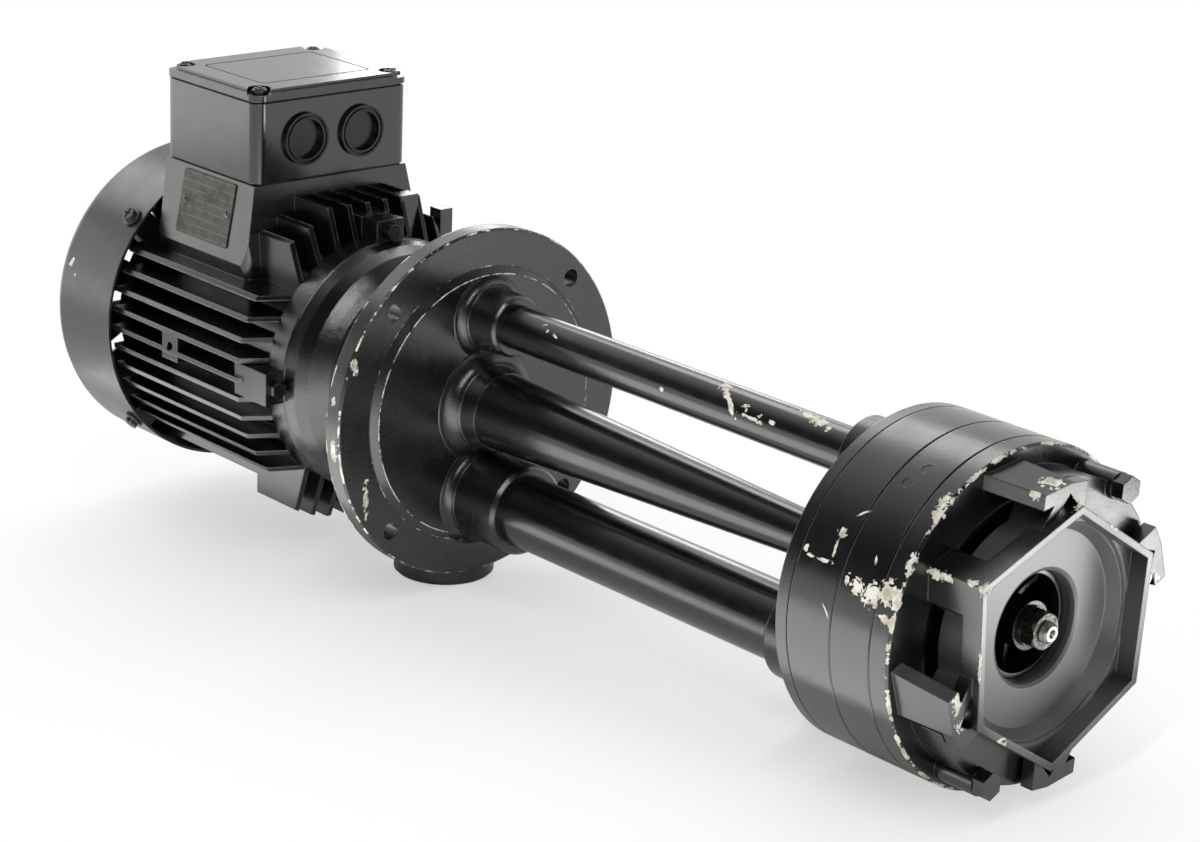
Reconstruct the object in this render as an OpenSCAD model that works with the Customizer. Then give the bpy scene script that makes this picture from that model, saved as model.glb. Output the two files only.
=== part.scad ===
/* [Mounting flange] */
// Diameter of the mounting flange
flange_d = 180; // [176:1:200]
// Thickness of the mounting flange
flange_t = 10; // [9:0.5:14]
// Distance from the flange's edge to the middle of its holes
flange_edge = 10; // [8:0.5:12]
// Diameter of each flange hole
flange_hole_d = 9; // [7:0.5:11]
// Number of flange holes
flange_holes = 4; // [4, 6, 8]
// Diameter of the raised centring register on the tank side
register_d = 140; // [138:1:142]
// Height of the register above the flange
register_h = 3; // [2:0.5:4]

/* [Pipes and column] */
// Distance from the shaft axis to the vent pipe's axis
vent_offset = 46.2; // [44:0.2:48]
// Outside diameter of the vent pipe
vent_d = 21.8; // [20:0.2:24]
// Wall of the vent pipe
vent_wall = 2.6; // [2:0.2:3]
// Distance from the shaft axis to the delivery pipe's axis
delivery_offset = 47; // [45:0.5:48]
// Outside diameter of the delivery pipe
delivery_d = 36.4; // [34:0.2:38]
// Wall of the delivery pipe
delivery_wall = 3.2; // [2.5:0.1:4]
// Diameter of the shaft column at its flange end
column_root_d = 38.6; // [36:0.2:39]
// Diameter of the shaft column at its thin end
column_tip_d = 18.6; // [18:0.2:24]
// Distance from the flange's face to the back of the pump head
immersion = 288; // [284:1:320]

/* [Discharge] */
// Outside diameter of the discharge stub
stub_d = 52; // [48:1:54]
// Bore of the discharge stub
stub_bore_d = 38; // [34:1:40]
// Distance from the flange's face back to the stub's axis
stub_back = 27; // [27:0.5:29]
// Distance from the shaft axis down to the stub's end
stub_drop = 97.5; // [95:0.5:105]

/* [Pump head] */
// Diameter of the pump head
head_d = 154.6; // [152:0.2:158]
// Wall of a stage casing
stage_wall = 10; // [8:0.5:11]
// Thickness of the head's back cover
back_cover_t = 7.2; // [6:0.2:9]
// Length of the second stage's casing
stage2_l = 25.2; // [25:0.2:27]
// Length of the first stage's casing
stage1_l = 22.5; // [22:0.1:24]
// Thickness of the suction cover's round flange
cover_flange_t = 10.5; // [10:0.5:12]
// Distance from the cover's round flange to the tip of its rim
cover_l = 29.6; // [28:0.2:32]
// Distance across the corners of the hexagonal rim
rim_corners = 118; // [114:1:120]
// Distance from the shaft axis to the rim's one long corner
long_corner = 67; // [59:0.5:70]
// Angle by which the suction cover is turned on the head
cover_turn = -2.5; // [-5:0.5:5]
// Wall of the hexagonal rim
rim_wall = 3.2; // [2.4:0.2:4]
// Depth of the hexagonal band in front of the pockets
rim_band = 10.5; // [7:0.5:11]
// Diameter of the suction eye
eye_d = 49; // [49:0.5:52]
// Diameter of an impeller
impeller_d = 120; // [112:1:122]
// Number of vanes of an impeller
impeller_vanes = 6; // [5, 6, 7]

/* [Shaft] */
// Diameter of the shaft in the column
shaft_d = 12; // [11:0.5:12]
// Diameter of the shaft under the rotor core
rotor_shaft_d = 24; // [22:1:26]
// Width across the flats of the impeller nut
nut_flats = 16; // [14:1:17]

/* [Motor] */
// Distance from the flange's face to the bell rim of the drive end shield
shield_rim_back = 77.5; // [76:0.5:79]
// Diameter of the end shield's rim
shield_d = 135; // [133:1:137]
// Distance from the flange's face to the front edge of the fan cowl
cowl_front_back = 211; // [209:1:220]
// Diameter of the fan cowl
cowl_d = 170; // [168:1:176]
// Length of the fan cowl
cowl_l = 53; // [51:1:60]
// Sheet thickness of the fan cowl
cowl_t = 1.6; // [1.2:0.1:2]
// Diameter over the tips of the cooling fins
fin_tip_d = 160; // [156:1:162]
// Thickness of a cooling fin
fin_t = 2.6; // [2:0.1:3]
// Distance between the level fins
fin_pitch = 10.4; // [10.2:0.1:10.6]
// Distance between the upright fins
upright_pitch = 11.6; // [11:0.1:12]
// Diameter of the stator barrel
barrel_d = 124; // [122:1:126]
// Bore of the stator barrel
barrel_bore_d = 110; // [108:1:112]

/* [Terminal box] */
// Length of the box along the shaft
box_l = 82; // [78:1:86]
// Width of the box across the shaft
box_w = 98; // [94:1:100]
// Distance from the flange's face back to the middle of the box
box_back = 168; // [166:1:170]
// Height of the box's foot above the shaft axis
box_foot = 92; // [91:0.5:94]
// Height of the box without its lid
box_h = 42; // [40:1:46]
// Thickness of the lid
lid_t = 6; // [5:0.5:8]
// Wall of the box
box_wall = 3.5; // [3:0.1:4]
// Radius of the box's upright corners
box_r = 6; // [5:0.5:7]
// Distance between the two cable entries
entry_pitch = 36; // [34:1:38]
// Bore of a cable entry
entry_d = 24; // [22:1:25]

/* [Fits] */
// Radial clearance of a running fit
run_gap = 0.05; // [0.03:0.01:0.1]
// Gap between an impeller and the casing round it
wear_gap = 0.4; // [0.3:0.05:0.6]
// Thickness of a seal or gasket
gasket_t = 1; // [0.8:0.1:1.5]

/* [Hidden] */
$fn = 96;
small = 40;
eps = 0.02;

// Stations along the shaft, with the flange's tank face at 0 and the suction side positive
neck_x = -54;
shield_x = -shield_rim_back;
barrel_x1 = -90;
fin_chamfer_x = -99;
cowl_x1 = -cowl_front_back;
cowl_x0 = cowl_x1 - cowl_l;
cowl_overlap = 3;
barrel_x0 = cowl_x1 - cowl_overlap;
rear_shield_t = 12;
rear_shield_x0 = barrel_x0 - rear_shield_t;
rear_bearing_w = 11;
drive_bearing_w = 14;
rear_bearing_x = barrel_x0 - 1;
drive_bearing_x = -70;
stack_x0 = -192;
stack_x1 = -112;
end_ring_l = 7;
winding_l = 12;
fan_x0 = cowl_x0 + 14;
fan_w = 18;
shaft_step_x = -40;
seal_x = -22;
seal_w = 8;
head_x = immersion;
stage2_x = head_x + back_cover_t;
stage1_x = stage2_x + stage2_l;
cover_x = stage1_x + stage1_l;
cover_front_x = cover_x + cover_flange_t;
rim_x = cover_front_x + cover_l;
band_x = rim_x - rim_band;
dish_x = rim_x - 16.5;
lobe_x = rim_x - 12;
vent_sleeve_x = 26;
column_step_x = 18.5;
column_spigot_l = 8;
column_foot_x = column_step_x - column_spigot_l;
column_tip_l = 18;
column_tip_x = head_x - column_tip_l;
delivery_sleeve_x = 38;
socket_depth = 14;
delivery_head_sleeve = 60;
delivery_head_x = head_x - delivery_head_sleeve;
vent_head_sleeve = 26;
vent_head_x = head_x - vent_head_sleeve;
spigot_l = 4;
spigot_depth = 5;

// Impellers and what holds them
disc_t = 3;
front_disc_t = 2;
collar_t = 2;
vane_t = 2.4;
vane_bend = 38;
hub1_l = 26;
hub2_l = 16;
vane1_h = 9;
vane2_h = 8;
collar1_l = 9;
collar2_l = 2;
impeller1_x = cover_x - 6;
impeller2_x = stage2_x + 3;
washer_t = 1.5;
nut_h = 7;
nut_x = impeller1_x + hub1_l;
thread_l = 12;
diaphragm_t = 5;
return_vane_h = 3;
return_vanes = 6;

// Radii
flange_r = flange_d / 2;
head_r = head_d / 2;
rim_r = rim_corners / 2;
dish_r = 44;
hull_r = 48;
vent_r = vent_d / 2;
delivery_r = delivery_d / 2;
vent_sleeve_r = vent_r + 4.6;
delivery_sleeve_r = delivery_r + 4.8;
chamber_r = 14;
column_wall = 2;
column_bore_tip_r = column_tip_d / 2 - column_wall;
column_spigot_r = column_root_d / 2 - column_wall;
shaft_r = shaft_d / 2;
seat_r = shaft_r - 1;
thread_r = seat_r - 0.5;
hub_r = 11;
impeller_eye_r = eye_d / 2 - wear_gap;
casing_bore_r = head_r - stage_wall;
shield_r = shield_d / 2;
neck_r = 55;
spigot_r = 40;
drive_seat_r = 10;
drive_race_r = [13.6, 19.8];
drive_bearing_r = 23.5;
drive_boss_r = 34;
drive_balls = 9;
rear_seat_r = 7.5;
rear_race_r = [10.6, 14.8];
rear_bearing_r = 17.5;
rear_balls = 8;
ball_gap = 0.1;
fan_seat_r = 7;
fan_hub_r = 13;
fan_blades = 8;
lug_r = 78;
lug_w = 17;
lug_t = 13;
lug_bolt_r = lug_r - 6;
lug_angles = [0, 90, 180, 270];
shield_bolt_d = 5.2;
shield_bolt_l = 25;
shield_bolt_flats = 8;
shield_bolt_head = 4;
ear_root_r = 50;
cover_bolt_r = 68.5;
cover_bolt_d = 6.4;
boss_r = 6.2;
boss_h = 3;
plug_d = 5;
plug_depth = 4;
plug_places = [[stage1_x + 8, 125.5], [stage1_x + 11, 118.5]];
ear_w = 14;
ear_r = cowl_d / 2 - cowl_t;
cowl_screw_x = barrel_x0 - rear_shield_t / 2;
cowl_screw_angles = [42, 138, 222, 318];
small_screw_d = 4.2;
screw_head_d = 7.5;
screw_head_h = 4;
washer_d = 11;
pad_x = -161;
pad_l = 14;
tall_fin_rise = 3;
block_x = -97;
block_l = 9;
block_low = 20;
cast_blocks = [[22.5, 33.5, 83], [49, 57, 72]];
plate_l = 46;
plate_w = 34;
plate_t = 0.8;
rivet_d = 2.4;
rivet_dx = plate_l / 2 - 4;
floor_hole = 48;
lid_step = 1.5;
panel_in = 14;
panel_line = 1;
screw_recess = 2.6;
screw_recess_d = 12;
stud_d = 4;
stud_row = 7;
stud_pitch = 15;
block_t = 4;
cover_bolt_angles = [60, 240];
cover_legs = [[90, 1], [30, -1], [-90, 1], [210, -1]];
plain_corners = [150, -30];
long_angle = 150;
leg_x = rim_x - 4;
leg_root_r = 72.8;
leg_tip_r = 68;
leg_wall_t = 6.5;
leg_tilt = 10.3;
box_x = -box_back;
box_top = box_foot + box_h;
lid_top = box_top + gasket_t + lid_t;
pedestal_top = box_foot - gasket_t;
pedestal_low = 50;
pedestal_flare = 8;
pedestal_lean = atan(pedestal_flare / (pedestal_top - pedestal_low));
lid_screw_dx = box_l / 2 - 7;
lid_screw_dy = box_w / 2 - 7;
entry_z = box_foot + box_h / 2;
fan_r = 62;
stator_bore_r = 36;
core_gap = 0.5;

// A straight round bar along the shaft from x0 to x1
module bar(x0, x1, r) {
    translate([x0, 0, 0]) rotate([0, 90, 0]) cylinder(h = x1 - x0, r = r);
}

// A cone along the shaft from radius r0 at x0 to radius r1 at x1
module cone(x0, x1, r0, r1) {
    translate([x0, 0, 0]) rotate([0, 90, 0]) cylinder(h = x1 - x0, r1 = r0, r2 = r1);
}

// A ring along the shaft with outer radius r and bore radius b
module ring(x0, x1, r, b) {
    difference() {
        bar(x0, x1, r);
        bar(x0 - 1, x1 + 1, b);
    }
}

// A turned piece whose outline is a list of [station, radius]
module turned(outline) {
    rotate([0, 90, 0]) rotate_extrude() polygon([for (p = outline) [p[1], p[0]]]);
}

// Places its child at radius r and an angle round the shaft, measured from the level towards the top
module around(angle, r) {
    rotate([angle, 0, 0]) translate([0, r, 0]) children();
}

// A flat rectangle with round corners, centred
module rounded(l, w, r) {
    square([l - 2 * r, w], center = true);
    square([l, w - 2 * r], center = true);
    for (sx = [-1, 1], sy = [-1, 1])
        translate([sx * (l / 2 - r), sy * (w / 2 - r)]) circle(r = r, $fn = small);
}

// A hexagon prism along the shaft with two corners up and down
module hexagon(x0, x1, r) {
    translate([x0, 0, 0]) rotate([0, 90, 0]) cylinder(h = x1 - x0, r = r, $fn = 6);
}

// The suction cover's rim outline as a prism, drawn in by inset, with one corner further out than the others
module rim_prism(x0, x1, inset) {
    translate([x0, 0, 0]) rotate([90, 0, 90]) linear_extrude(height = x1 - x0)
        polygon([for (a = [30 : 60 : 330])
            ((a == long_angle ? long_corner : rim_r) - inset) * [cos(a), sin(a)]]);
}

// Cutter for a cross slot of length l, from height z up
module cross_slot(z, l) {
    for (a = [0, 90]) rotate(a) translate([-l / 2, -0.6, z]) cube([l, 1.2, 3]);
}

// Places its child at the four lid screws, seen from above
module at_lid_screws() {
    for (sx = [-1, 1], sy = [-1, 1]) translate([box_x + sx * lid_screw_dx, sy * lid_screw_dy, 0]) children();
}

// A bolt along the shaft with its head's underside at x and its shank reaching to the negative side
module bolt(x, head_flats, head_h, shank_d, shank_l) {
    translate([x, 0, 0]) {
        rotate([0, 90, 0]) cylinder(h = head_h, d = head_flats / cos(30), $fn = 6);
        translate([-shank_l, 0, 0]) rotate([0, 90, 0]) cylinder(h = shank_l + eps, d = shank_d, $fn = small);
    }
}

// Level flange plate with its register, sleeves for the pipes, neck towards the motor and discharge stub
module mounting_flange() {
    color([0.07, 0.07, 0.08]) difference() {
        union() {
            turned([[-flange_t, 0], [-flange_t, flange_r], [-1, flange_r], [0, flange_r - 1],
                [0, register_d / 2 + 1], [register_h, register_d / 2 - 2.5], [register_h, 0]]);
            turned([[neck_x, 0], [neck_x, neck_r], [-38, neck_r - 2], [-26, neck_r], [-16, neck_r + 7],
                [-flange_t + 1, neck_r + 18], [-flange_t + 1, 0]]);
            translate([-stub_back, 0, -stub_drop + 1.5]) cylinder(h = stub_drop - 20, d = stub_d);
            translate([-stub_back, 0, -stub_drop]) cylinder(h = 1.5 + eps, d1 = stub_d - 3, d2 = stub_d);
            translate([0, 0, vent_offset]) {
                cone(0, vent_sleeve_x - 1.5, vent_sleeve_r + 1.6, vent_sleeve_r);
                cone(vent_sleeve_x - 1.5 - eps, vent_sleeve_x, vent_sleeve_r, vent_sleeve_r - 1.2);
            }
            translate([0, 0, -delivery_offset]) {
                bar(0, delivery_sleeve_x - 2, delivery_sleeve_r);
                cone(delivery_sleeve_x - 2 - eps, delivery_sleeve_x,
                    delivery_sleeve_r, delivery_sleeve_r - 1.6);
            }
            cone(0, column_step_x, column_root_d / 2 + 4.6, column_root_d / 2 + 0.9);
        }
        bar(neck_x - 1, column_foot_x, chamber_r);
        bar(column_foot_x - eps, column_step_x + 1, column_spigot_r);
        bar(neck_x - 1, neck_x + spigot_depth, spigot_r);
        translate([0, 0, vent_offset]) bar(vent_sleeve_x - socket_depth, vent_sleeve_x + 1, vent_r);
        translate([0, 0, vent_offset]) bar(-6, vent_sleeve_x, vent_r - vent_wall);
        translate([0, 0, -delivery_offset]) {
            bar(delivery_sleeve_x - socket_depth, delivery_sleeve_x + 1, delivery_r);
            bar(-stub_back, delivery_sleeve_x, delivery_r - delivery_wall);
        }
        translate([-stub_back, 0, -stub_drop - 1])
            cylinder(h = stub_drop - delivery_offset + delivery_r - delivery_wall + 1, d = stub_bore_d);
        for (i = [0 : flange_holes - 1])
            around(45 + i * 360 / flange_holes, flange_r - flange_edge)
                bar(-flange_t - 1, 1, flange_hole_d / 2);
    }
}

// Hollow column round the shaft, wide at the flange and thin at the pump head
module shaft_column() {
    color([0.05, 0.05, 0.06]) difference() {
        union() {
            bar(column_foot_x, column_step_x + eps, column_spigot_r);
            cone(column_step_x, column_tip_x, column_root_d / 2, column_tip_d / 2);
            cone(column_tip_x - eps, head_x, column_tip_d / 2, column_tip_d / 2 + 5);
        }
        cone(column_foot_x - eps, column_tip_x, chamber_r, column_bore_tip_r);
        bar(column_tip_x - eps, head_x + 1, column_bore_tip_r);
    }
}

// Thin pipe between the flange and the pump head, above the shaft
module vent_pipe() {
    color([0.08, 0.08, 0.09]) translate([0, 0, vent_offset])
        ring(vent_sleeve_x - socket_depth, vent_head_x + socket_depth, vent_r, vent_r - vent_wall);
}

// Thick pipe that carries the coolant up from the pump head, below the shaft
module delivery_pipe() {
    color([0.06, 0.06, 0.07]) translate([0, 0, -delivery_offset])
        ring(delivery_sleeve_x - socket_depth, delivery_head_x + socket_depth,
            delivery_r, delivery_r - delivery_wall);
}

// Lip seal round the shaft in the neck of the flange
module shaft_seal() {
    color([0.25, 0.16, 0.1]) ring(seal_x, seal_x + seal_w, chamber_r, shaft_r + run_gap);
}

// Plain bushing that guides the shaft at the thin end of the column
module column_bushing() {
    color([0.72, 0.53, 0.25]) ring(column_tip_x + 2, head_x - 1, column_bore_tip_r, shaft_r + run_gap);
}

// Disc that closes the pump head towards the pipes, with a sleeve for each pipe
module back_cover() {
    color([0.06, 0.06, 0.07]) difference() {
        union() {
            turned([[head_x, 0], [head_x, head_r - 1], [head_x + 1, head_r], [stage2_x, head_r],
                [stage2_x, 0]]);
            translate([0, 0, vent_offset]) {
                bar(vent_head_x + 2, head_x + 1, vent_sleeve_r + 4);
                cone(vent_head_x, vent_head_x + 2 + eps, vent_sleeve_r + 2, vent_sleeve_r + 4);
            }
            translate([0, 0, -delivery_offset]) {
                bar(delivery_head_x + 2, head_x + 1, delivery_sleeve_r);
                cone(delivery_head_x, delivery_head_x + 2 + eps, delivery_sleeve_r - 1.6, delivery_sleeve_r);
            }
        }
        bar(head_x - 1, stage2_x + 1, shaft_r + 2);
        translate([0, 0, vent_offset]) {
            bar(vent_head_x - 1, vent_head_x + socket_depth, vent_r);
            bar(vent_head_x, stage2_x + 1, vent_r - vent_wall);
        }
        translate([0, 0, -delivery_offset]) {
            bar(delivery_head_x - 1, delivery_head_x + socket_depth, delivery_r);
            bar(delivery_head_x, stage2_x + 1, delivery_r - delivery_wall);
        }
    }
}

// Round casing of one stage, bored for its impeller
module stage_casing(x0, x1) {
    difference() {
        turned([[x0, 0], [x0, head_r - 0.6], [x0 + 0.6, head_r], [x1 - 0.6, head_r], [x1, head_r - 0.6],
            [x1, 0]]);
        bar(x0 - 1, x1 + 1, casing_bore_r);
    }
}

// Casing of the second stage, next to the back cover
module stage_casing_2() {
    color([0.05, 0.05, 0.06]) stage_casing(stage2_x, stage1_x);
}

// Casing of the first stage, next to the suction cover, with two small blind holes for its plugs
module stage_casing_1() {
    color([0.05, 0.05, 0.06]) difference() {
        stage_casing(stage1_x, cover_x);
        for (p = plug_places)
            around(p[1], head_r - plug_depth) translate([p[0], 0, 0]) rotate([-90, 0, 0])
                cylinder(h = plug_depth + 1, d = plug_d, $fn = small);
    }
}

// Two small round plugs let into the first stage's casing
module casing_plugs() {
    color([0.1, 0.1, 0.11]) for (p = plug_places)
        around(p[1], head_r - plug_depth) translate([p[0], 0, 0]) rotate([-90, 0, 0])
            cylinder(h = plug_depth - 0.2, d = plug_d, $fn = small);
}

// Disc between the stages with passages at its rim, and return vanes on its back that lead the coolant inward
module stage_diaphragm() {
    x0 = stage1_x - diaphragm_t / 2;
    step = 360 / return_vanes;
    color([0.2, 0.2, 0.22]) difference() {
        union() {
            bar(x0, x0 + diaphragm_t, casing_bore_r);
            for (i = [0 : return_vanes - 1]) rotate([i * step, 0, 0])
                translate([x0 - return_vane_h, 20, -1.5]) cube([return_vane_h + eps, 40, 3]);
        }
        bar(x0 - 1, x0 + diaphragm_t + 1, hub_r + wear_gap);
        for (i = [0 : return_vanes - 1]) rotate([(i + 0.5) * step, 0, 0])
            translate([x0 - 1, casing_bore_r - 8, -9]) cube([diaphragm_t + 2, 5, 18]);
    }
}

// Seen from the side, the wall of a leg between its inner and outer face, as [station, outward]
function leg_wall() = [[cover_front_x - 1, leg_root_r - leg_wall_t], [cover_front_x - 1, leg_root_r],
    [leg_x, leg_tip_r], [leg_x, leg_tip_r - leg_wall_t]];

// Seen from outside, the narrowing breadth of a leg, as [station, across]
function leg_breadth(side) = [[cover_front_x - 1, 8 * side], [cover_front_x - 1, 29.5 * side],
    [leg_x, 20.5 * side], [leg_x, 3 * side]];

// Tapered outer wall of one leg, tilted back from the bolt's side
module leg_block(angle, side) {
    rotate([angle - 90, 0, 0]) intersection() {
        rotate([side * leg_tilt, 0, 0]) translate([0, 50, 0]) rotate([90, 0, 0])
            linear_extrude(height = 100) polygon(leg_wall());
        translate([0, 0, 30]) mirror([0, 1, 0]) linear_extrude(height = 60) polygon(leg_breadth(side));
    }
}

// Outline of the plate that ties a leg to the rim
function leg_plate(side) = [[-6 * side, 50], [-6 * side, 68], [4 * side, 68.5], [20.5 * side, 65.5],
    [13.5 * side, 61], [23 * side, 46], [23 * side, 40]];

// Three-cornered pocket between a leg and the rim
function leg_pocket(side) = [[-0.5 * side, 58.8], [4.5 * side, 64], [15.5 * side, 50.4], [15.5 * side, 46],
    [0, 55]];

// Extrudes a flat outline given as [across, outward] at one angle round the shaft
module leg_shape(angle, outline, x0, x1) {
    rotate([angle - 90, 0, 0]) translate([x0, 0, 0]) rotate([90, 0, 90])
        linear_extrude(height = x1 - x0) polygon([for (p = outline) [-p[0], p[1]]]);
}

// Suction cover with its hexagonal rim, dished face, four legs and two bolt bosses
module suction_cover() {
    color([0.05, 0.05, 0.055]) rotate([cover_turn, 0, 0]) difference() {
        union() {
            turned([[cover_x, 0], [cover_x, head_r - 0.6], [cover_x + 0.6, head_r],
                [cover_front_x - 1, head_r], [cover_front_x, head_r - 1], [cover_front_x, 0]]);
            bar(cover_front_x - eps, rim_x - 1, hull_r);
            difference() {
                for (leg = cover_legs) {
                    leg_block(leg[0], leg[1]);
                    leg_shape(leg[0], leg_plate(leg[1]), band_x, leg_x);
                }
                for (leg = cover_legs) leg_shape(leg[0], leg_pocket(leg[1]), cover_front_x + 4, rim_x + 1);
            }
            rim_prism(band_x, rim_x, 0);
            for (a = plain_corners) intersection() {
                rim_prism(cover_front_x - eps, rim_x - 1, 0);
                rotate([a - 90, 0, 0]) translate([cover_front_x - 1, -12, 0])
                    cube([cover_l, 24, long_corner + 1]);
            }
            for (a = cover_bolt_angles) {
                intersection() {
                    bar(cover_front_x - eps, lobe_x, 68);
                    rotate([a - 90, 0, 0]) translate([cover_front_x - 1, -34, 30]) cube([cover_l, 68, 50]);
                }
                around(a, cover_bolt_r) bar(cover_front_x - eps, lobe_x + boss_h, boss_r);
            }
        }
        rim_prism(band_x + 1.5, rim_x + 1, rim_wall / cos(30));
        cone(dish_x, band_x + 1.5 + eps, dish_r, dish_r + 5);
        turned([[cover_x - 1, 0], [cover_x - 1, casing_bore_r], [cover_front_x - 2, casing_bore_r],
            [cover_front_x + 2.4, 40], [cover_front_x + 2.4, eye_d / 2], [dish_x - 3, eye_d / 2],
            [dish_x - 1, eye_d / 2 + 0.7], [dish_x, eye_d / 2 + 2.4], [dish_x + 1, eye_d / 2 + 2.4],
            [dish_x + 1, 0]]);
        for (a = cover_bolt_angles) around(a, cover_bolt_r) bar(cover_x - 1, rim_x, cover_bolt_d / 2 + 0.1);
    }
}

// Two bolts through the bosses of the suction cover
module cover_bolts() {
    color([0.07, 0.07, 0.08]) rotate([cover_turn, 0, 0]) for (a = cover_bolt_angles)
        around(a, cover_bolt_r) bolt(lobe_x + boss_h, 11, 6, cover_bolt_d, lobe_x + boss_h - cover_x);
}

// One curved vane of an impeller, seen along the shaft
module vane(r_in, r_out) {
    intersection() {
        translate([r_out / 2, -vane_bend * 0.62]) difference() {
            circle(r = vane_bend + vane_t / 2, $fn = 64);
            circle(r = vane_bend - vane_t / 2, $fn = 64);
        }
        difference() {
            circle(r = r_out);
            circle(r = r_in);
        }
        square([r_out + 1, r_out + 1]);
    }
}

// Closed impeller with hub, back disc, curved vanes, front disc and a collar at its eye
module impeller(x0, hub_l, vane_h, collar_l) {
    r = impeller_d / 2;
    front_x = x0 + disc_t + vane_h;
    difference() {
        union() {
            bar(x0, x0 + disc_t, r);
            bar(x0, x0 + hub_l, hub_r);
            translate([x0 + disc_t - eps, 0, 0]) rotate([90, 0, 90])
                linear_extrude(height = vane_h + 2 * eps) for (i = [0 : impeller_vanes - 1])
                    rotate(i * 360 / impeller_vanes) vane(hub_r - 1, r - 1);
            turned([[front_x, impeller_eye_r - collar_t], [front_x, r], [front_x + front_disc_t, r],
                [front_x + front_disc_t, impeller_eye_r], [front_x + front_disc_t + collar_l, impeller_eye_r],
                [front_x + front_disc_t + collar_l, impeller_eye_r - collar_t]]);
        }
        bar(x0 - 1, x0 + hub_l + 1, seat_r);
    }
}

// First impeller, seen through the suction eye, where its collar runs
module impeller_1() {
    color([0.06, 0.06, 0.07]) impeller(impeller1_x, hub1_l, vane1_h, collar1_l);
}

// Second impeller, in the casing behind the diaphragm
module impeller_2() {
    color([0.06, 0.06, 0.07]) impeller(impeller2_x, hub2_l, vane2_h, collar2_l);
}

// Sleeve that keeps the two impellers apart on the shaft
module spacer_sleeve() {
    color([0.6, 0.6, 0.62]) ring(impeller2_x + hub2_l, impeller1_x, hub_r - 1, seat_r);
}

// Washer and hexagon nut that hold the impellers on the shaft
module impeller_nut() {
    top_x = nut_x + washer_t + nut_h;
    color([0.12, 0.12, 0.13]) difference() {
        union() {
            bar(nut_x, nut_x + washer_t, nut_flats / 2 + 1);
            intersection() {
                hexagon(nut_x + washer_t - eps, top_x, nut_flats / 2 / cos(30));
                cone(nut_x, top_x, nut_flats / 2 + 8, nut_flats / 2 - 0.1);
            }
        }
        bar(nut_x - 1, top_x + 1, thread_r);
    }
}

// Stepped shaft in one piece from the fan to the impellers, with a centre hole in its end
module shaft() {
    rear_x = rear_bearing_x - rear_bearing_w;
    end_x = nut_x + thread_l;
    color([0.62, 0.63, 0.65]) difference() {
        union() {
            bar(fan_x0 - 2, rear_x + eps, fan_seat_r);
            bar(rear_x, rear_bearing_x + eps, rear_seat_r);
            bar(rear_bearing_x, rear_bearing_x + 2, rear_seat_r + 1.5);
            bar(rear_bearing_x + 2 - eps, drive_bearing_x - drive_bearing_w, rotor_shaft_d / 2);
            bar(drive_bearing_x - drive_bearing_w - eps, drive_bearing_x + eps, drive_seat_r);
            bar(drive_bearing_x, shaft_step_x, drive_seat_r - 1);
            bar(shaft_step_x - eps, impeller2_x, shaft_r);
            bar(impeller2_x - eps, nut_x, seat_r);
            bar(nut_x - eps, end_x - 1, thread_r);
            cone(end_x - 1 - eps, end_x, thread_r, thread_r - 1);
        }
        cone(end_x - 3, end_x + eps, 0.6, 2);
    }
}

// Laminated rotor with its cast end rings
module rotor_core() {
    r = stator_bore_r - core_gap;
    color([0.5, 0.5, 0.52]) difference() {
        union() {
            bar(stack_x0, stack_x1, r);
            bar(stack_x0 - end_ring_l, stack_x0 + eps, r - 3);
            bar(stack_x1 - eps, stack_x1 + end_ring_l, r - 3);
        }
        bar(stack_x0 - end_ring_l - 1, stack_x1 + end_ring_l + 1, rotor_shaft_d / 2);
        bar(stack_x0 - end_ring_l - 1, stack_x0 - 3, r - 14);
        bar(stack_x1 + 3, stack_x1 + end_ring_l + 1, r - 14);
    }
}

// Cooling fan with straight radial blades on a hub disc
module fan() {
    color([0.12, 0.12, 0.13]) difference() {
        union() {
            bar(fan_x0, fan_x0 + fan_w, fan_hub_r);
            bar(fan_x0 + fan_w - 3, fan_x0 + fan_w, fan_r);
            for (i = [0 : fan_blades - 1]) rotate([i * 360 / fan_blades, 0, 0])
                translate([fan_x0, fan_hub_r - 1, -1]) cube([fan_w - 2, fan_r - fan_hub_r, 2]);
        }
        bar(fan_x0 - 1, fan_x0 + fan_w + 1, fan_seat_r);
    }
}

// Balls of a bearing in the middle of its width, between the two races
module balls(x, races, count) {
    r = (races[1] - races[0]) / 2 - ball_gap;
    for (i = [0 : count - 1])
        around(i * 360 / count, (races[0] + races[1]) / 2) translate([x, 0, 0]) sphere(r = r, $fn = 24);
}

// Inner ring of the drive end bearing
module drive_bearing_inner() {
    color([0.75, 0.76, 0.78])
        ring(drive_bearing_x - drive_bearing_w, drive_bearing_x, drive_race_r[0], drive_seat_r);
}

// Outer ring of the drive end bearing
module drive_bearing_outer() {
    color([0.7, 0.71, 0.73])
        ring(drive_bearing_x - drive_bearing_w, drive_bearing_x, drive_bearing_r, drive_race_r[1]);
}

// Balls of the drive end bearing
module drive_bearing_balls() {
    color([0.85, 0.85, 0.87]) balls(drive_bearing_x - drive_bearing_w / 2, drive_race_r, drive_balls);
}

// Inner ring of the rear bearing
module rear_bearing_inner() {
    color([0.75, 0.76, 0.78])
        ring(rear_bearing_x - rear_bearing_w, rear_bearing_x, rear_race_r[0], rear_seat_r);
}

// Outer ring of the rear bearing
module rear_bearing_outer() {
    color([0.7, 0.71, 0.73])
        ring(rear_bearing_x - rear_bearing_w, rear_bearing_x, rear_bearing_r, rear_race_r[1]);
}

// Balls of the rear bearing
module rear_bearing_balls() {
    color([0.85, 0.85, 0.87]) balls(rear_bearing_x - rear_bearing_w / 2, rear_race_r, rear_balls);
}

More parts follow.
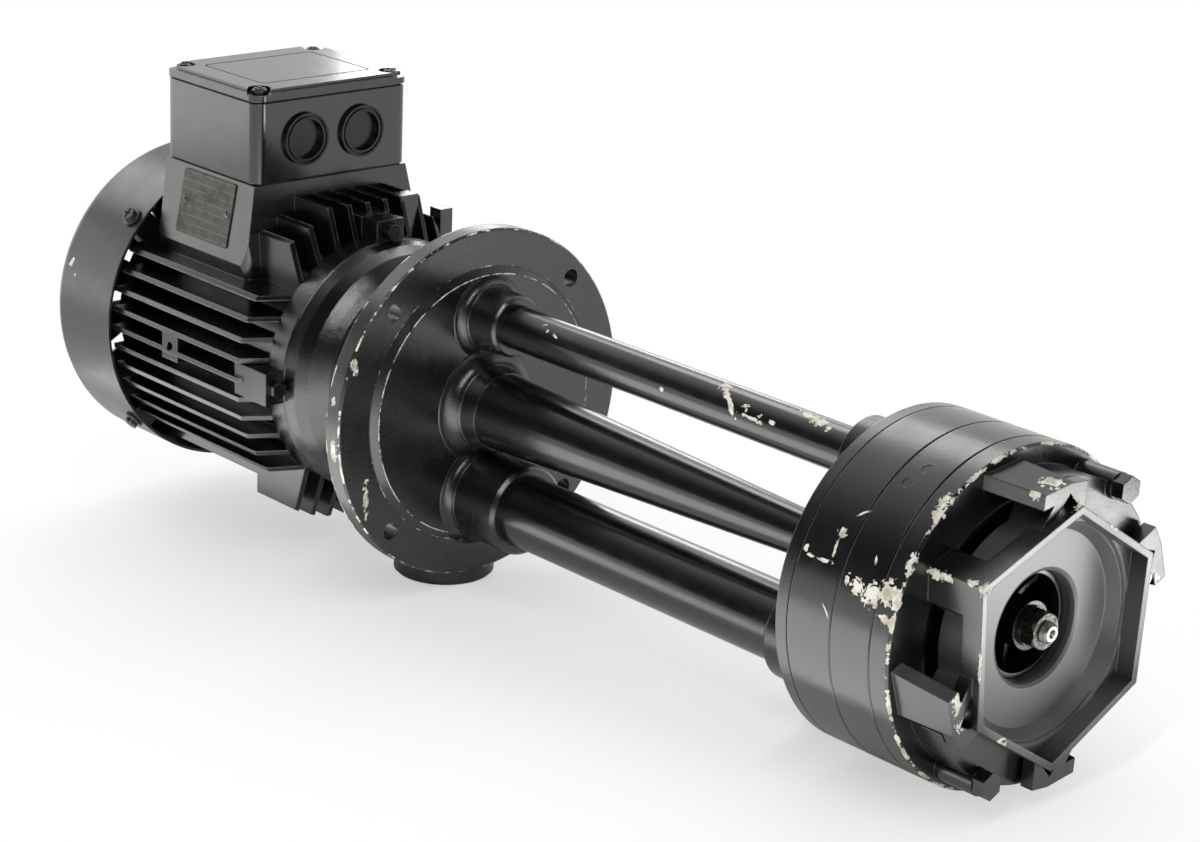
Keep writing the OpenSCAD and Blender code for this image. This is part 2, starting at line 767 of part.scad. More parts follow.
// Ears round a shield or the housing, from station x0 over a length l, at the given angles
module ears(angles, x0, l, r_in, r_out, w) {
    for (a = angles) rotate([a, 0, 0]) translate([x0, r_in, -w / 2]) cube([l, r_out - r_in, w]);
}

// Drive end shield: bell rim at the stator, hollow curve towards the flange's neck, seat for the bearing
module drive_end_shield() {
    color([0.05, 0.05, 0.06]) difference() {
        union() {
            turned([[barrel_x1, 0], [barrel_x1, shield_r], [shield_x, shield_r],
                [shield_x + 1, shield_r - 0.8], [shield_x + 8, shield_r - 1.8],
                [shield_x + 15, shield_r - 4.6], [shield_x + 20, shield_r - 9], [neck_x, neck_r], [neck_x, 0]]);
            bar(barrel_x1 - 5, barrel_x1 + eps, barrel_bore_d / 2);
            ears(lug_angles, barrel_x1, lug_t, ear_root_r, lug_r, lug_w);
            bar(neck_x - eps, neck_x + spigot_l, spigot_r);
        }
        turned([[barrel_x1 - 6, 0], [barrel_x1 - 6, barrel_bore_d / 2 - 5],
            [barrel_x1 + 4, barrel_bore_d / 2 - 5], [neck_x - 16, drive_boss_r],
            [drive_bearing_x - drive_bearing_w, drive_boss_r], [drive_bearing_x - drive_bearing_w, 0]]);
        bar(drive_bearing_x - drive_bearing_w - 10, drive_bearing_x, drive_bearing_r);
        bar(drive_bearing_x - eps, neck_x + spigot_l + 1, 17);
        for (a = lug_angles)
            around(a, lug_bolt_r) bar(barrel_x1 - 1, barrel_x1 + lug_t + 1, shield_bolt_d / 2);
    }
}

// Hexagon bolts that hold the end shield to the stator housing
module shield_bolts() {
    color([0.3, 0.3, 0.32]) for (a = lug_angles)
        around(a, lug_bolt_r)
            bolt(barrel_x1 + lug_t, shield_bolt_flats, shield_bolt_head, shield_bolt_d, shield_bolt_l);
}

// Space that the fins fill from station x0: full length at the tips, sloping in at the drive end
module fin_envelope(x0, tip_r) {
    turned([[x0, 0], [x0, tip_r], [fin_chamfer_x, tip_r], [barrel_x1, barrel_d / 2 + 4], [barrel_x1, 0]]);
}

// Level fins on both sides of the barrel
module level_fins() {
    for (k = [-5 : 4]) translate([barrel_x0, -fin_tip_d / 2, k * fin_pitch - fin_t / 2])
        cube([barrel_x1 - barrel_x0, fin_tip_d, fin_t]);
}

// Upright fins from x0 to the drive end, for the rows in ks, on the top (side 1) or the underside (side -1)
module upright_fins(x0, ks, pitch, side) {
    for (k = ks) translate([x0, k * pitch - fin_t / 2, side > 0 ? 30 : -90])
        cube([barrel_x1 - x0, fin_t, 60]);
}

// Flared foot under the terminal box, cast with the housing
module pedestal() {
    front = box_l / 2 - 1;
    intersection() {
        translate([box_x - 60, 0, 0]) rotate([90, 0, 90]) linear_extrude(height = 120)
            polygon([[-box_w / 2 - pedestal_flare, pedestal_low], [-box_w / 2, pedestal_top],
                [box_w / 2, pedestal_top], [box_w / 2 + pedestal_flare, pedestal_low], [box_w / 2, 0],
                [-box_w / 2, 0]]);
        translate([box_x, 100, 0]) rotate([90, 0, 0]) linear_extrude(height = 200)
            polygon([[-front + 4, 0], [-front + 4, pedestal_low], [-front, pedestal_top],
                [front, pedestal_top], [front + 4, pedestal_low], [front + 4, 0]]);
        translate([box_x + 2, 0, 0]) linear_extrude(height = pedestal_top)
            rounded(box_l + 2, box_w + 2 * pedestal_flare, box_r);
    }
}

// Finned stator barrel with the box's foot, the end shield's lugs and a threaded pad
module stator_housing() {
    upright_x = box_x + box_l / 2 - 6;
    color([0.05, 0.05, 0.06]) difference() {
        union() {
            bar(barrel_x0, barrel_x1, barrel_d / 2);
            intersection() {
                fin_envelope(barrel_x0, fin_tip_d / 2);
                union() {
                    level_fins();
                    upright_fins(barrel_x0, [-4 : 4], fin_pitch, -1);
                }
            }
            intersection() {
                fin_envelope(upright_x, fin_tip_d / 2 + 2);
                upright_fins(upright_x, [-4 : 4], upright_pitch, 1);
            }
            intersection() {
                fin_envelope(upright_x, fin_tip_d / 2 + 9);
                translate([upright_x, -fin_tip_d / 2, -fin_tip_d / 2 - 6])
                    cube([80, fin_tip_d, fin_tip_d + 6 + tall_fin_rise]);
                union() {
                    upright_fins(upright_x, [-2 : 3], upright_pitch, 1);
                    upright_fins(upright_x, [-4 : 4], fin_pitch, -1);
                }
            }
            pedestal();
            for (b = cast_blocks)
                translate([block_x - block_l, b[0], block_low]) cube([block_l, b[1] - b[0], b[2] - block_low]);
            ears(lug_angles, barrel_x1 - 14, 14, ear_root_r, lug_r, lug_w);
            translate([pad_x - pad_l / 2, -fin_tip_d / 2 + 0.6, -5]) cube([pad_l, 30, 15]);
        }
        bar(barrel_x0 - 1, barrel_x1 + 1, barrel_bore_d / 2);
        translate([box_x - floor_hole / 2, -floor_hole / 2, 40]) cube([floor_hole, floor_hole, 60]);
        translate([pad_x, -fin_tip_d / 2 - 1, 2.5]) rotate([-90, 0, 0]) cylinder(h = 13, d = 5, $fn = small);
        for (a = lug_angles) around(a, lug_bolt_r) bar(barrel_x1 - 18, barrel_x1 + 1, shield_bolt_d / 2);
    }
}

// Laminated stator stack
module stator_core() {
    color([0.45, 0.45, 0.47]) ring(stack_x0, stack_x1, barrel_bore_d / 2, stator_bore_r);
}

// Copper end windings at both ends of the stack
module stator_winding() {
    color([0.72, 0.35, 0.15]) for (x = [stack_x0 - winding_l, stack_x1])
        ring(x, x + winding_l, barrel_bore_d / 2 - 5, stator_bore_r + 3.5);
}

// Rear end shield with the seat of the rear bearing and four ears for the cowl
module rear_end_shield() {
    color([0.3, 0.3, 0.32]) difference() {
        union() {
            bar(rear_shield_x0, barrel_x0, barrel_d / 2 - 1);
            bar(barrel_x0 - eps, barrel_x0 + spigot_l, barrel_bore_d / 2);
            intersection() {
                bar(rear_shield_x0, barrel_x0, ear_r);
                ears(cowl_screw_angles, rear_shield_x0, rear_shield_t, ear_root_r, ear_r + 1, ear_w);
            }
        }
        bar(rear_shield_x0 - 1, barrel_x0, 12);
        bar(rear_bearing_x - rear_bearing_w, barrel_x0 + spigot_l + 1, rear_bearing_r);
        for (a = cowl_screw_angles) around(a, ear_r - 9) translate([cowl_screw_x, 0, 0]) rotate([-90, 0, 0])
            cylinder(h = 10, d = small_screw_d, $fn = small);
    }
}

// Sheet cowl over the fan, with air slots in its back
module fan_cowl() {
    r = cowl_d / 2;
    edge = 6;
    color([0.09, 0.09, 0.095]) difference() {
        turned([[cowl_x1, r - cowl_t], [cowl_x1, r], [cowl_x0 + edge, r],
            [cowl_x0 + edge * 0.3, r - edge * 0.3], [cowl_x0, r - edge], [cowl_x0, 0], [cowl_x0 + cowl_t, 0],
            [cowl_x0 + cowl_t, r - edge], [cowl_x0 + edge * 0.3 + cowl_t, r - edge * 0.3 - cowl_t * 0.7],
            [cowl_x0 + edge, r - cowl_t]]);
        for (a = [0 : 30 : 330]) rotate([a, 0, 0]) translate([cowl_x0 - 1, 22, -3]) cube([4, 38, 6]);
        for (a = cowl_screw_angles) around(a, r - 5) translate([cowl_screw_x, 0, 0]) rotate([-90, 0, 0])
            cylinder(h = 10, d = small_screw_d, $fn = small);
    }
}

// Screws with washers that hold the cowl
module cowl_screws() {
    color([0.12, 0.12, 0.13]) for (a = cowl_screw_angles)
        around(a, cowl_d / 2) translate([cowl_screw_x, 0, 0]) rotate([-90, 0, 0]) {
            translate([0, 0, 0.4]) cylinder(h = 1, d = washer_d, $fn = small);
            difference() {
                cylinder(h = screw_head_h, d = screw_head_d, $fn = small);
                cross_slot(screw_head_h - 1, 6);
            }
            translate([0, 0, -9]) cylinder(h = 9.5, d = small_screw_d, $fn = small);
        }
}

// Flat seal between the housing's foot and the terminal box
module box_gasket() {
    color([0.15, 0.15, 0.15]) translate([box_x, 0, pedestal_top]) linear_extrude(height = gasket_t)
        difference() {
            rounded(box_l - 2, box_w - 2, box_r);
            square([floor_hole, floor_hole], center = true);
        }
}

// Open box with two cable entries towards the pump and a pillar at each lid screw
module terminal_box() {
    color([0.06, 0.06, 0.065]) difference() {
        translate([box_x, 0, box_foot]) linear_extrude(height = box_h) rounded(box_l, box_w, box_r);
        difference() {
            translate([box_x, 0, box_foot + box_wall]) linear_extrude(height = box_h)
                rounded(box_l - 2 * box_wall, box_w - 2 * box_wall, box_r - 2);
            at_lid_screws() translate([0, 0, box_foot]) cylinder(h = box_h, r = 5, $fn = small);
        }
        at_lid_screws() translate([0, 0, box_top - 18]) cylinder(h = 20, d = small_screw_d, $fn = small);
        translate([box_x - floor_hole / 2, -floor_hole / 2, box_foot - 1])
            cube([floor_hole, floor_hole, box_wall + 2]);
        for (s = [-1, 1]) translate([0, s * entry_pitch / 2, entry_z])
            bar(box_x + box_l / 2 - box_wall - 1, box_x + box_l / 2 + 2, entry_d / 2);
    }
}

// Seal under the lid
module lid_gasket() {
    color([0.12, 0.12, 0.12]) difference() {
        translate([box_x, 0, box_top]) linear_extrude(height = gasket_t) difference() {
            rounded(box_l - 1.6, box_w - 1.6, box_r);
            rounded(box_l - 22, box_w - 22, 4);
        }
        at_lid_screws() translate([0, 0, box_top - 1])
            cylinder(h = gasket_t + 2, d = small_screw_d, $fn = small);
    }
}

// Lid with a shallow rectangular panel line and a round recess at each screw
module terminal_lid() {
    recess_z = lid_top - screw_recess;
    color([0.06, 0.06, 0.065]) difference() {
        union() {
            translate([box_x, 0, box_top + gasket_t]) linear_extrude(height = lid_t - lid_step)
                rounded(box_l + 1, box_w + 1, box_r + 0.5);
            translate([box_x, 0, lid_top - lid_step - eps]) linear_extrude(height = lid_step + eps)
                rounded(box_l - 2, box_w - 2, box_r);
        }
        translate([box_x, 0, lid_top - 0.8]) linear_extrude(height = 2) difference() {
            rounded(box_l - 2 * panel_in, box_w - 2 * panel_in, 3);
            rounded(box_l - 2 * (panel_in + panel_line), box_w - 2 * (panel_in + panel_line), 2);
        }
        at_lid_screws() translate([0, 0, box_top]) cylinder(h = lid_t + 3, d = small_screw_d, $fn = small);
        for (sx = [-1, 1], sy = [-1, 1], out = [0, 2])
            translate([box_x + sx * (lid_screw_dx + out), sy * (lid_screw_dy + out), recess_z])
                cylinder(h = 5, d = screw_recess_d, $fn = small);
    }
}

// Cross-head screws of the lid
module lid_screws() {
    color([0.35, 0.35, 0.36]) at_lid_screws() translate([0, 0, lid_top - screw_recess]) difference() {
        union() {
            cylinder(h = 1.6, d = 8, $fn = small);
            translate([0, 0, 1.6 - eps]) cylinder(h = 1.2, d1 = 8, d2 = 5.4, $fn = small);
            translate([0, 0, -14]) cylinder(h = 14 + eps, d = small_screw_d, $fn = small);
        }
        cross_slot(1.4, 5.2);
    }
}

// Blanking plugs in the cable entries: a raised collar with a dished face
module entry_plugs() {
    color([0.05, 0.05, 0.055]) for (s = [-1, 1])
        translate([box_x + box_l / 2, s * entry_pitch / 2, entry_z]) difference() {
            union() {
                bar(0, 2.2, 13.8);
                bar(-box_wall - 1, eps, entry_d / 2);
            }
            bar(-1.2, 3, 10.4);
            ring(1.2, 3, 12.6, 11.6);
        }
}

// Places its child at the six terminals, on the floor of the box
module at_terminals() {
    for (sx = [-1, 1], k = [-1, 0, 1])
        translate([box_x + sx * stud_row, k * stud_pitch, box_foot + box_wall]) children();
}

// Insulated block that carries the motor's terminals inside the box, across the hole in its floor
module terminal_block() {
    l = 2 * stud_row + 14;
    w = 4 * stud_pitch;
    foot_l = floor_hole + 12;
    color([0.75, 0.72, 0.62]) difference() {
        translate([box_x, 0, box_foot + box_wall]) {
            translate([-l / 2, -w / 2, 0]) cube([l, w, block_t]);
            for (k = [-1.5 : 1.5]) translate([-l / 2, k * stud_pitch - 1.5, block_t - eps]) cube([l, 3, 6]);
            for (s = [-1, 1]) translate([-foot_l / 2, s * (w / 2 + 1) - 5, 0]) cube([foot_l, 10, block_t]);
        }
        at_terminals() translate([0, 0, -1]) cylinder(h = block_t + 2, d = stud_d, $fn = small);
    }
}

// Six brass terminal studs with their nuts
module terminal_studs() {
    color([0.8, 0.65, 0.3]) at_terminals() {
        cylinder(h = 14, d = stud_d, $fn = small);
        translate([0, 0, block_t]) cylinder(h = 3.2, d = 7 / cos(30), $fn = 6);
    }
}

// Places its child on the leaning side of the box's foot, with its own Z outward
module on_foot_side() {
    translate([box_x + 2, -box_w / 2, pedestal_top]) rotate([90 - pedestal_lean, 0, 0])
        translate([0, -plate_w / 2 - 2, 0]) children();
}

// Bare metal nameplate
module nameplate() {
    color([0.72, 0.72, 0.7]) on_foot_side() linear_extrude(height = plate_t) difference() {
        rounded(plate_l, plate_w, 1.5);
        for (s = [-1, 1]) translate([s * rivet_dx, 0]) circle(d = rivet_d, $fn = small);
    }
}

// Two rivets of the nameplate
module nameplate_rivets() {
    color([0.3, 0.3, 0.3]) on_foot_side() for (s = [-1, 1]) translate([s * rivet_dx, 0, 0]) {
        cylinder(h = plate_t + eps, d = rivet_d, $fn = small);
        translate([0, 0, plate_t]) cylinder(h = 1, d1 = 4.6, d2 = 3, $fn = small);
    }
}

mounting_flange();
shaft_column();
vent_pipe();
delivery_pipe();
shaft_seal();
column_bushing();
back_cover();
stage_casing_2();
stage_casing_1();
stage_diaphragm();
suction_cover();
cover_bolts();
casing_plugs();
impeller_1();
impeller_2();
spacer_sleeve();
impeller_nut();
shaft();
rotor_core();
fan();
drive_bearing_inner();
drive_bearing_outer();
drive_bearing_balls();
rear_bearing_inner();
rear_bearing_outer();
rear_bearing_balls();
drive_end_shield();
shield_bolts();
stator_housing();
stator_core();
stator_winding();
rear_end_shield();
fan_cowl();
cowl_screws();
box_gasket();
terminal_box();
lid_gasket();
terminal_lid();
lid_screws();
entry_plugs();
terminal_block();
terminal_studs();
nameplate();
nameplate_rivets();
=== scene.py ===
"""Looks of an immersion coolant pump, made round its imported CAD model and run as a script.

Every new surface is computed with numpy in the frame of the model: the origin is the centre of the
mounting flange's tank face on the shaft axis, +X runs to the suction end and +Z up to the terminal box.
Lengths in the code are millimetres until a mesh or a material is made. Settings, camera and lamps are
in metres.
"""
import math

import bpy
import numpy as np
from mathutils import Matrix, Vector


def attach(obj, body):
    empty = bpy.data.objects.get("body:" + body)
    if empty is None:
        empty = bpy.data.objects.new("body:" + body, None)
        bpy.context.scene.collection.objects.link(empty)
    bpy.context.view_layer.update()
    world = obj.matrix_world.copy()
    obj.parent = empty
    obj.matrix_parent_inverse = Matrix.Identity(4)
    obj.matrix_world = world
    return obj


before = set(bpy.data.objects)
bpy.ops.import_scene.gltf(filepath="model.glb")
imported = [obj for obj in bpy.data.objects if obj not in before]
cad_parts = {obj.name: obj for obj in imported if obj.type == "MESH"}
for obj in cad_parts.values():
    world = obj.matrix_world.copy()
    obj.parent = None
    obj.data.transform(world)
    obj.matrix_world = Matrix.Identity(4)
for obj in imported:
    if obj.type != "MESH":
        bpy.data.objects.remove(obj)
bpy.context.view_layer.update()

bl_info = {
    "name": "Immersion pump looks",
    "version": (1, 0, 0),
    "blender": (4, 5, 0),
    "location": "3D View > Sidebar > Pump",
    "description": "Paint, wear, cast blends, threads and the studio of an immersion pump",
    "category": "Object",
}

MM = 0.001

# Measures of the solids that the chips and the new pieces are set against, in millimetres
VENT_Z, VENT_R = 46.2, 10.9
DELIVERY_Z = -47.0
HEAD_X, HEAD_R = 288.0, 77.3
FLANGE_R = 90.0
COWL_R = 85.0
REGISTER_TOP_R, REGISTER_FOOT_R, REGISTER_H = 67.5, 71.0, 3.0

# The table touches the stub: its height there, the station, and how far the paper reaches
TABLE_Z, TABLE_X, TABLE_REACH = -97.5, -1.0, 30000.0


class PaintSettings(bpy.types.PropertyGroup):
    """How the black enamel looks."""

    colour: bpy.props.StringProperty(
        name="Colour", description="Enamel colour as an sRGB hex value", default="#0A0B0B"
    )
    roughness: bpy.props.FloatProperty(
        name="Roughness", description="Roughness of clean enamel",
        default=0.2, min=0.05, max=0.9, subtype="FACTOR",
    )
    edge_wear: bpy.props.FloatProperty(
        name="Edge wear", description="How far the paint is rubbed off the edges",
        default=0.5, min=0.0, max=1.0, subtype="FACTOR",
    )
    # This colour also draws the painted highlight lines on the flange's register
    chip_colour: bpy.props.StringProperty(
        name="Chip colour", description="Primer colour under the enamel as an sRGB hex value",
        default="#DEDACD",
    )


class PieceSettings(bpy.types.PropertyGroup):
    """Sizes of the pieces that are added to the solids."""

    blend_radius: bpy.props.FloatProperty(
        name="Blend radius", description="Radius of the cast blends at the sleeves",
        default=0.005, min=0.001, max=0.01, unit="LENGTH", subtype="DISTANCE",
    )
    thread_pitch: bpy.props.FloatProperty(
        name="Thread pitch", description="Pitch of the thread on the shaft's end",
        default=0.001, min=0.0005, max=0.002, unit="LENGTH", subtype="DISTANCE",
    )


class StageSettings(bpy.types.PropertyGroup):
    """Camera, table and light."""

    location: bpy.props.FloatVectorProperty(
        name="Camera", description="Place of the camera", size=3,
        default=(1.11762, -0.93439, 0.47715), unit="LENGTH", subtype="TRANSLATION",
    )
    azimuth: bpy.props.FloatProperty(
        name="Azimuth", description="Direction of view round Z, from +Y towards -X",
        default=math.radians(47.747), unit="ROTATION", subtype="ANGLE",
    )
    elevation: bpy.props.FloatProperty(
        name="Elevation", description="How far the camera looks down",
        default=math.radians(18.397), unit="ROTATION", subtype="ANGLE",
    )
    roll: bpy.props.FloatProperty(
        name="Roll", description="Turn of the camera about its own axis",
        default=math.radians(2.41), unit="ROTATION", subtype="ANGLE",
    )
    lens: bpy.props.FloatProperty(
        name="Lens", description="Focal length on a 36 mm wide sensor", default=91.25, unit="CAMERA"
    )
    floor_slope: bpy.props.FloatProperty(
        name="Floor slope", description="Slope of the table the pump lies on, along its shaft",
        default=math.radians(3.266), unit="ROTATION", subtype="ANGLE",
    )
    light_level: bpy.props.FloatProperty(
        name="Light level", description="Multiplies the light of every lamp",
        default=0.8, min=0.0, max=3.0, subtype="FACTOR",
    )


def linear(hex_colour):
    """Linear RGBA of an sRGB hex colour: c/12.92 below 0.04045, else ((c + 0.055)/1.055)^2.4."""
    parts = [int(hex_colour[i : i + 2], 16) / 255 for i in (1, 3, 5)]
    return (*[c / 12.92 if c <= 0.04045 else ((c + 0.055) / 1.055) ** 2.4 for c in parts], 1.0)


def add_node(tree, kind, inputs=(), out=0, **settings):
    """Adds a node and returns its output out.

    inputs maps the name or number of an input to a value, or to an output that drives it.
    """
    made = tree.nodes.new(kind)
    for name, value in settings.items():
        setattr(made, name, value)
    for key, value in dict(inputs).items():
        if isinstance(value, bpy.types.NodeSocket):
            tree.links.new(value, made.inputs[key])
        else:
            made.inputs[key].default_value = value
    return made.outputs[out] if made.outputs else None


def blank(name):
    """A new material, its empty node tree and its Object coordinates in millimetres."""
    material = bpy.data.materials.new(name)
    material.use_nodes = True
    tree = material.node_tree
    tree.nodes.clear()
    place = add_node(tree, "ShaderNodeTexCoord", out="Object")
    coords = add_node(tree, "ShaderNodeVectorMath", {0: place, "Scale": 1 / MM}, operation="SCALE")
    return material, tree, coords


def round_chip(x, angle, radius, along, around, turn=0.0, z0=0.0, deep=2.5):
    """A chip on a cylinder along X whose axis lies at height z0.

    It is given by its station, its angle from +Y towards +Z, its half sizes and its own turn.
    """
    a = math.radians(angle)
    lie = Matrix.Rotation(a - math.pi / 2, 3, "X") @ Matrix.Rotation(math.radians(turn), 3, "Z")
    return (x, radius * math.cos(a), z0 + radius * math.sin(a)), tuple(lie.to_euler()), (along, around, deep)


def flat_chip(x, y, z, *half_sizes):
    """A chip at a point, with its half sizes along X, Y and Z."""
    return (x, y, z), (0.0, 0.0, 0.0), half_sizes


def chip_and_highlight_distance(tree, coords, chips, rings):
    """Least distance to the middle of any chip, 1 at its outline.

    Each chip is an ellipsoid whose local coordinates are pushed about by random cells and by noise, so its
    outline is broken and angular, as brittle paint leaves it. Each ring is a pale line that runs round the
    shaft, a rubbed edge on most parts and a painted highlight on the flange's register: its station, its
    radius, half its width and how much of it is left painted.
    """
    cells = add_node(
        tree, "ShaderNodeTexVoronoi", {"Vector": coords, "Scale": 0.62, "Randomness": 1.0}, out="Color"
    )
    crumbs = add_node(
        tree, "ShaderNodeTexNoise",
        {"Vector": coords, "Scale": 0.9, "Detail": 4.0, "Roughness": 0.7}, out="Color",
    )
    push = add_node(tree, "ShaderNodeMix", {0: 0.5, 6: cells, 7: crumbs}, out=2, data_type="RGBA")
    push = add_node(tree, "ShaderNodeVectorMath", {0: push, 1: (0.5, 0.5, 0.5)}, operation="SUBTRACT")
    found = []
    for at, lie, half in chips:
        local = add_node(
            tree, "ShaderNodeMapping", {"Vector": coords, "Location": at, "Rotation": lie, "Scale": half},
            vector_type="TEXTURE",
        )
        local = add_node(
            tree, "ShaderNodeVectorMath", {0: push, 1: (1.7, 1.7, 1.7), 2: local}, operation="MULTIPLY_ADD"
        )
        found.append(add_node(tree, "ShaderNodeVectorMath", {0: local}, out="Value", operation="LENGTH"))
    if rings:
        station = add_node(tree, "ShaderNodeSeparateXYZ", {0: coords})
        across = add_node(tree, "ShaderNodeVectorMath", {0: coords, 1: (0.0, 1.0, 1.0)}, operation="MULTIPLY")
        out_from_shaft = add_node(tree, "ShaderNodeVectorMath", {0: across}, out="Value", operation="LENGTH")
        section = add_node(tree, "ShaderNodeCombineXYZ", {0: station, 1: out_from_shaft})
        # Pale lengths of 5 to 15 mm with painted lengths between them; the pale lengths are rubbed edges, and
        # on the flange's register painted highlights
        runs = add_node(
            tree, "ShaderNodeTexNoise", {"Vector": coords, "Scale": 0.12, "Detail": 5.0, "Roughness": 0.7}
        )
    for x, radius, half, painted in rings:
        local = add_node(
            tree, "ShaderNodeMapping",
            {"Vector": section, "Location": (x, radius, 0.0), "Scale": (half, half, 1.0)},
            vector_type="TEXTURE",
        )
        away = add_node(tree, "ShaderNodeVectorMath", {0: local}, out="Value", operation="LENGTH")
        # Where paint is left, the distance goes up by 2, past any chip
        spare = add_node(
            tree, "ShaderNodeMapRange", {0: runs, 1: painted - 0.1, 2: painted + 0.1, 3: 2.0, 4: 0.0}
        )
        found.append(add_node(tree, "ShaderNodeMath", {0: away, 1: spare}, operation="ADD"))
    nearest = found[0]
    for far in found[1:]:
        nearest = add_node(tree, "ShaderNodeMath", {0: nearest, 1: far}, operation="MINIMUM")
    return nearest


def enamel(name, settings, duller, peel_mm, grain_mm, wear, chips=(), rings=(), dust=0.0, painted_sheen_radius=0.0):
    """Alkyd enamel over a casting, a tube or a pressing.

    The eye gets a wet black whose soft reflections are broken by orange peel, and by the skin of the casting
    where there is one, with edges rubbed to dull metal and chips that show the pale primer; pale rings in the
    chips' colour are rubbed edges, and painted highlights on the flange's register. duller is added to the
    roughness of clean enamel; dust is how much of it lies on the paint, and painted_sheen_radius is the
    radius inside which the black is painted greyer, a painted reflection, and made rougher.
    """
    material, tree, coords = blank(name)
    base = settings.roughness + duller
    # Black that drifts a little towards grey, in clouds about 50 mm wide
    clouds = add_node(
        tree, "ShaderNodeTexNoise", {"Vector": coords, "Scale": 0.02, "Detail": 4.0, "Roughness": 0.6}
    )
    colour = add_node(
        tree, "ShaderNodeMix", {0: clouds, 6: linear(settings.colour), 7: linear("#111211")},
        out=2, data_type="RGBA",
    )
    # A film of old oil and handling, in patches about 12 mm wide, dulls the gloss unevenly
    film = add_node(
        tree, "ShaderNodeTexNoise", {"Vector": coords, "Scale": 0.08, "Detail": 5.0, "Roughness": 0.65}
    )
    rough = add_node(tree, "ShaderNodeMapRange", {0: film, 1: 0.35, 2: 0.7, 3: base - 0.02, 4: base + 0.06})
    if dust:
        # Dust and overspray about 1 mm across, drawn coarser than real so that it shows
        specks = add_node(
            tree, "ShaderNodeTexNoise", {"Vector": coords, "Scale": 0.9, "Detail": 3.0, "Roughness": 0.7}
        )
        specks = add_node(tree, "ShaderNodeMapRange", {0: specks, 1: 0.64, 2: 0.76, 3: 0.0, 4: dust})
        colour = add_node(
            tree, "ShaderNodeMix", {0: specks, 6: colour, 7: linear("#6F6E66")}, out=2, data_type="RGBA"
        )
    if painted_sheen_radius:
        # Round the suction eye the black is painted greyer, a painted reflection of the bright table that the
        # dish mirrors, and the enamel there is rougher
        across = add_node(tree, "ShaderNodeVectorMath", {0: coords, 1: (0.0, 1.0, 1.0)}, operation="MULTIPLY")
        eye = add_node(tree, "ShaderNodeVectorMath", {0: across}, out="Value", operation="LENGTH")
        eye = add_node(tree, "ShaderNodeMapRange", {0: eye, 1: painted_sheen_radius + 4, 2: painted_sheen_radius - 4, 3: 0.0, 4: 1.0})
        colour = add_node(
            tree, "ShaderNodeMix", {0: eye, 6: colour, 7: linear("#4B4D4B")}, out=2, data_type="RGBA"
        )
        rough = add_node(tree, "ShaderNodeMix", {0: eye, 2: rough, 3: 0.38}, data_type="FLOAT")
    # Orange peel of about 2 mm, then the casting's skin of under 1 mm, over edges rounded by the paint
    rounded = add_node(tree, "ShaderNodeBevel", {"Radius": 0.8 * MM}, samples=4)
    peel = add_node(tree, "ShaderNodeTexNoise", {"Vector": coords, "Scale": 0.5, "Detail": 2.0})
    normal = add_node(tree, "ShaderNodeBump", {"Height": peel, "Distance": peel_mm * MM, "Normal": rounded})
    grain = add_node(
        tree, "ShaderNodeTexNoise", {"Vector": coords, "Scale": 1.4, "Detail": 3.0, "Roughness": 0.6}
    )
    normal = add_node(tree, "ShaderNodeBump", {"Height": grain, "Distance": grain_mm * MM, "Normal": normal})
    if wear:
        # Only near an outer edge do short rays inside the piece soon meet another face
        inside = add_node(
            tree, "ShaderNodeAmbientOcclusion", {"Distance": 1.1 * MM}, out="AO",
            samples=6, inside=True, only_local=True,
        )
        rubbed = add_node(
            tree, "ShaderNodeTexNoise", {"Vector": coords, "Scale": 0.14, "Detail": 7.0, "Roughness": 0.75}
        )
        edge = add_node(tree, "ShaderNodeMath", {0: 1.0, 1: inside}, operation="SUBTRACT")
        edge = add_node(tree, "ShaderNodeMath", {0: edge, 1: rubbed}, operation="MULTIPLY")
        worn = add_node(
            tree, "ShaderNodeMapRange",
            {0: edge, 1: 0.32 - 0.12 * wear, 2: 0.36 - 0.12 * wear, 3: 0.0, 4: 0.85},
        )
        colour = add_node(
            tree, "ShaderNodeMix", {0: worn, 6: colour, 7: linear("#8F8C80")}, out=2, data_type="RGBA"
        )
        rough = add_node(tree, "ShaderNodeMix", {0: worn, 2: rough, 3: 0.5}, data_type="FLOAT")
    if chips:
        # This mask holds the rings too, which on the flange's register are painted highlights
        far = chip_and_highlight_distance(tree, coords, chips, rings)
        chip = add_node(tree, "ShaderNodeMapRange", {0: far, 1: 1.03, 2: 0.97})
        # Primer in cream, in places scraped to a browner coat below
        coats = add_node(
            tree, "ShaderNodeTexNoise", {"Vector": coords, "Scale": 0.16, "Detail": 5.0, "Roughness": 0.7}
        )
        coats = add_node(tree, "ShaderNodeMapRange", {0: coats, 1: 0.45, 2: 0.6})
        under = add_node(
            tree, "ShaderNodeMix", {0: coats, 6: linear(settings.chip_colour), 7: linear("#A8A08D")},
            out=2, data_type="RGBA",
        )
        colour = add_node(tree, "ShaderNodeMix", {0: chip, 6: colour, 7: under}, out=2, data_type="RGBA")
        rough = add_node(tree, "ShaderNodeMix", {0: chip, 2: rough, 3: 0.6}, data_type="FLOAT")
        # The paint is 0.15 mm thick at the chip's lip
        step = add_node(tree, "ShaderNodeMath", {0: 1.0, 1: chip}, operation="SUBTRACT")
        normal = add_node(tree, "ShaderNodeBump", {"Height": step, "Distance": 0.15 * MM, "Normal": normal})
    paint = add_node(
        tree, "ShaderNodeBsdfPrincipled",
        {"Base Color": colour, "Roughness": rough, "Normal": normal, "IOR": 1.55, "Specular IOR Level": 0.85},
    )
    add_node(tree, "ShaderNodeOutputMaterial", {0: paint})
    return material


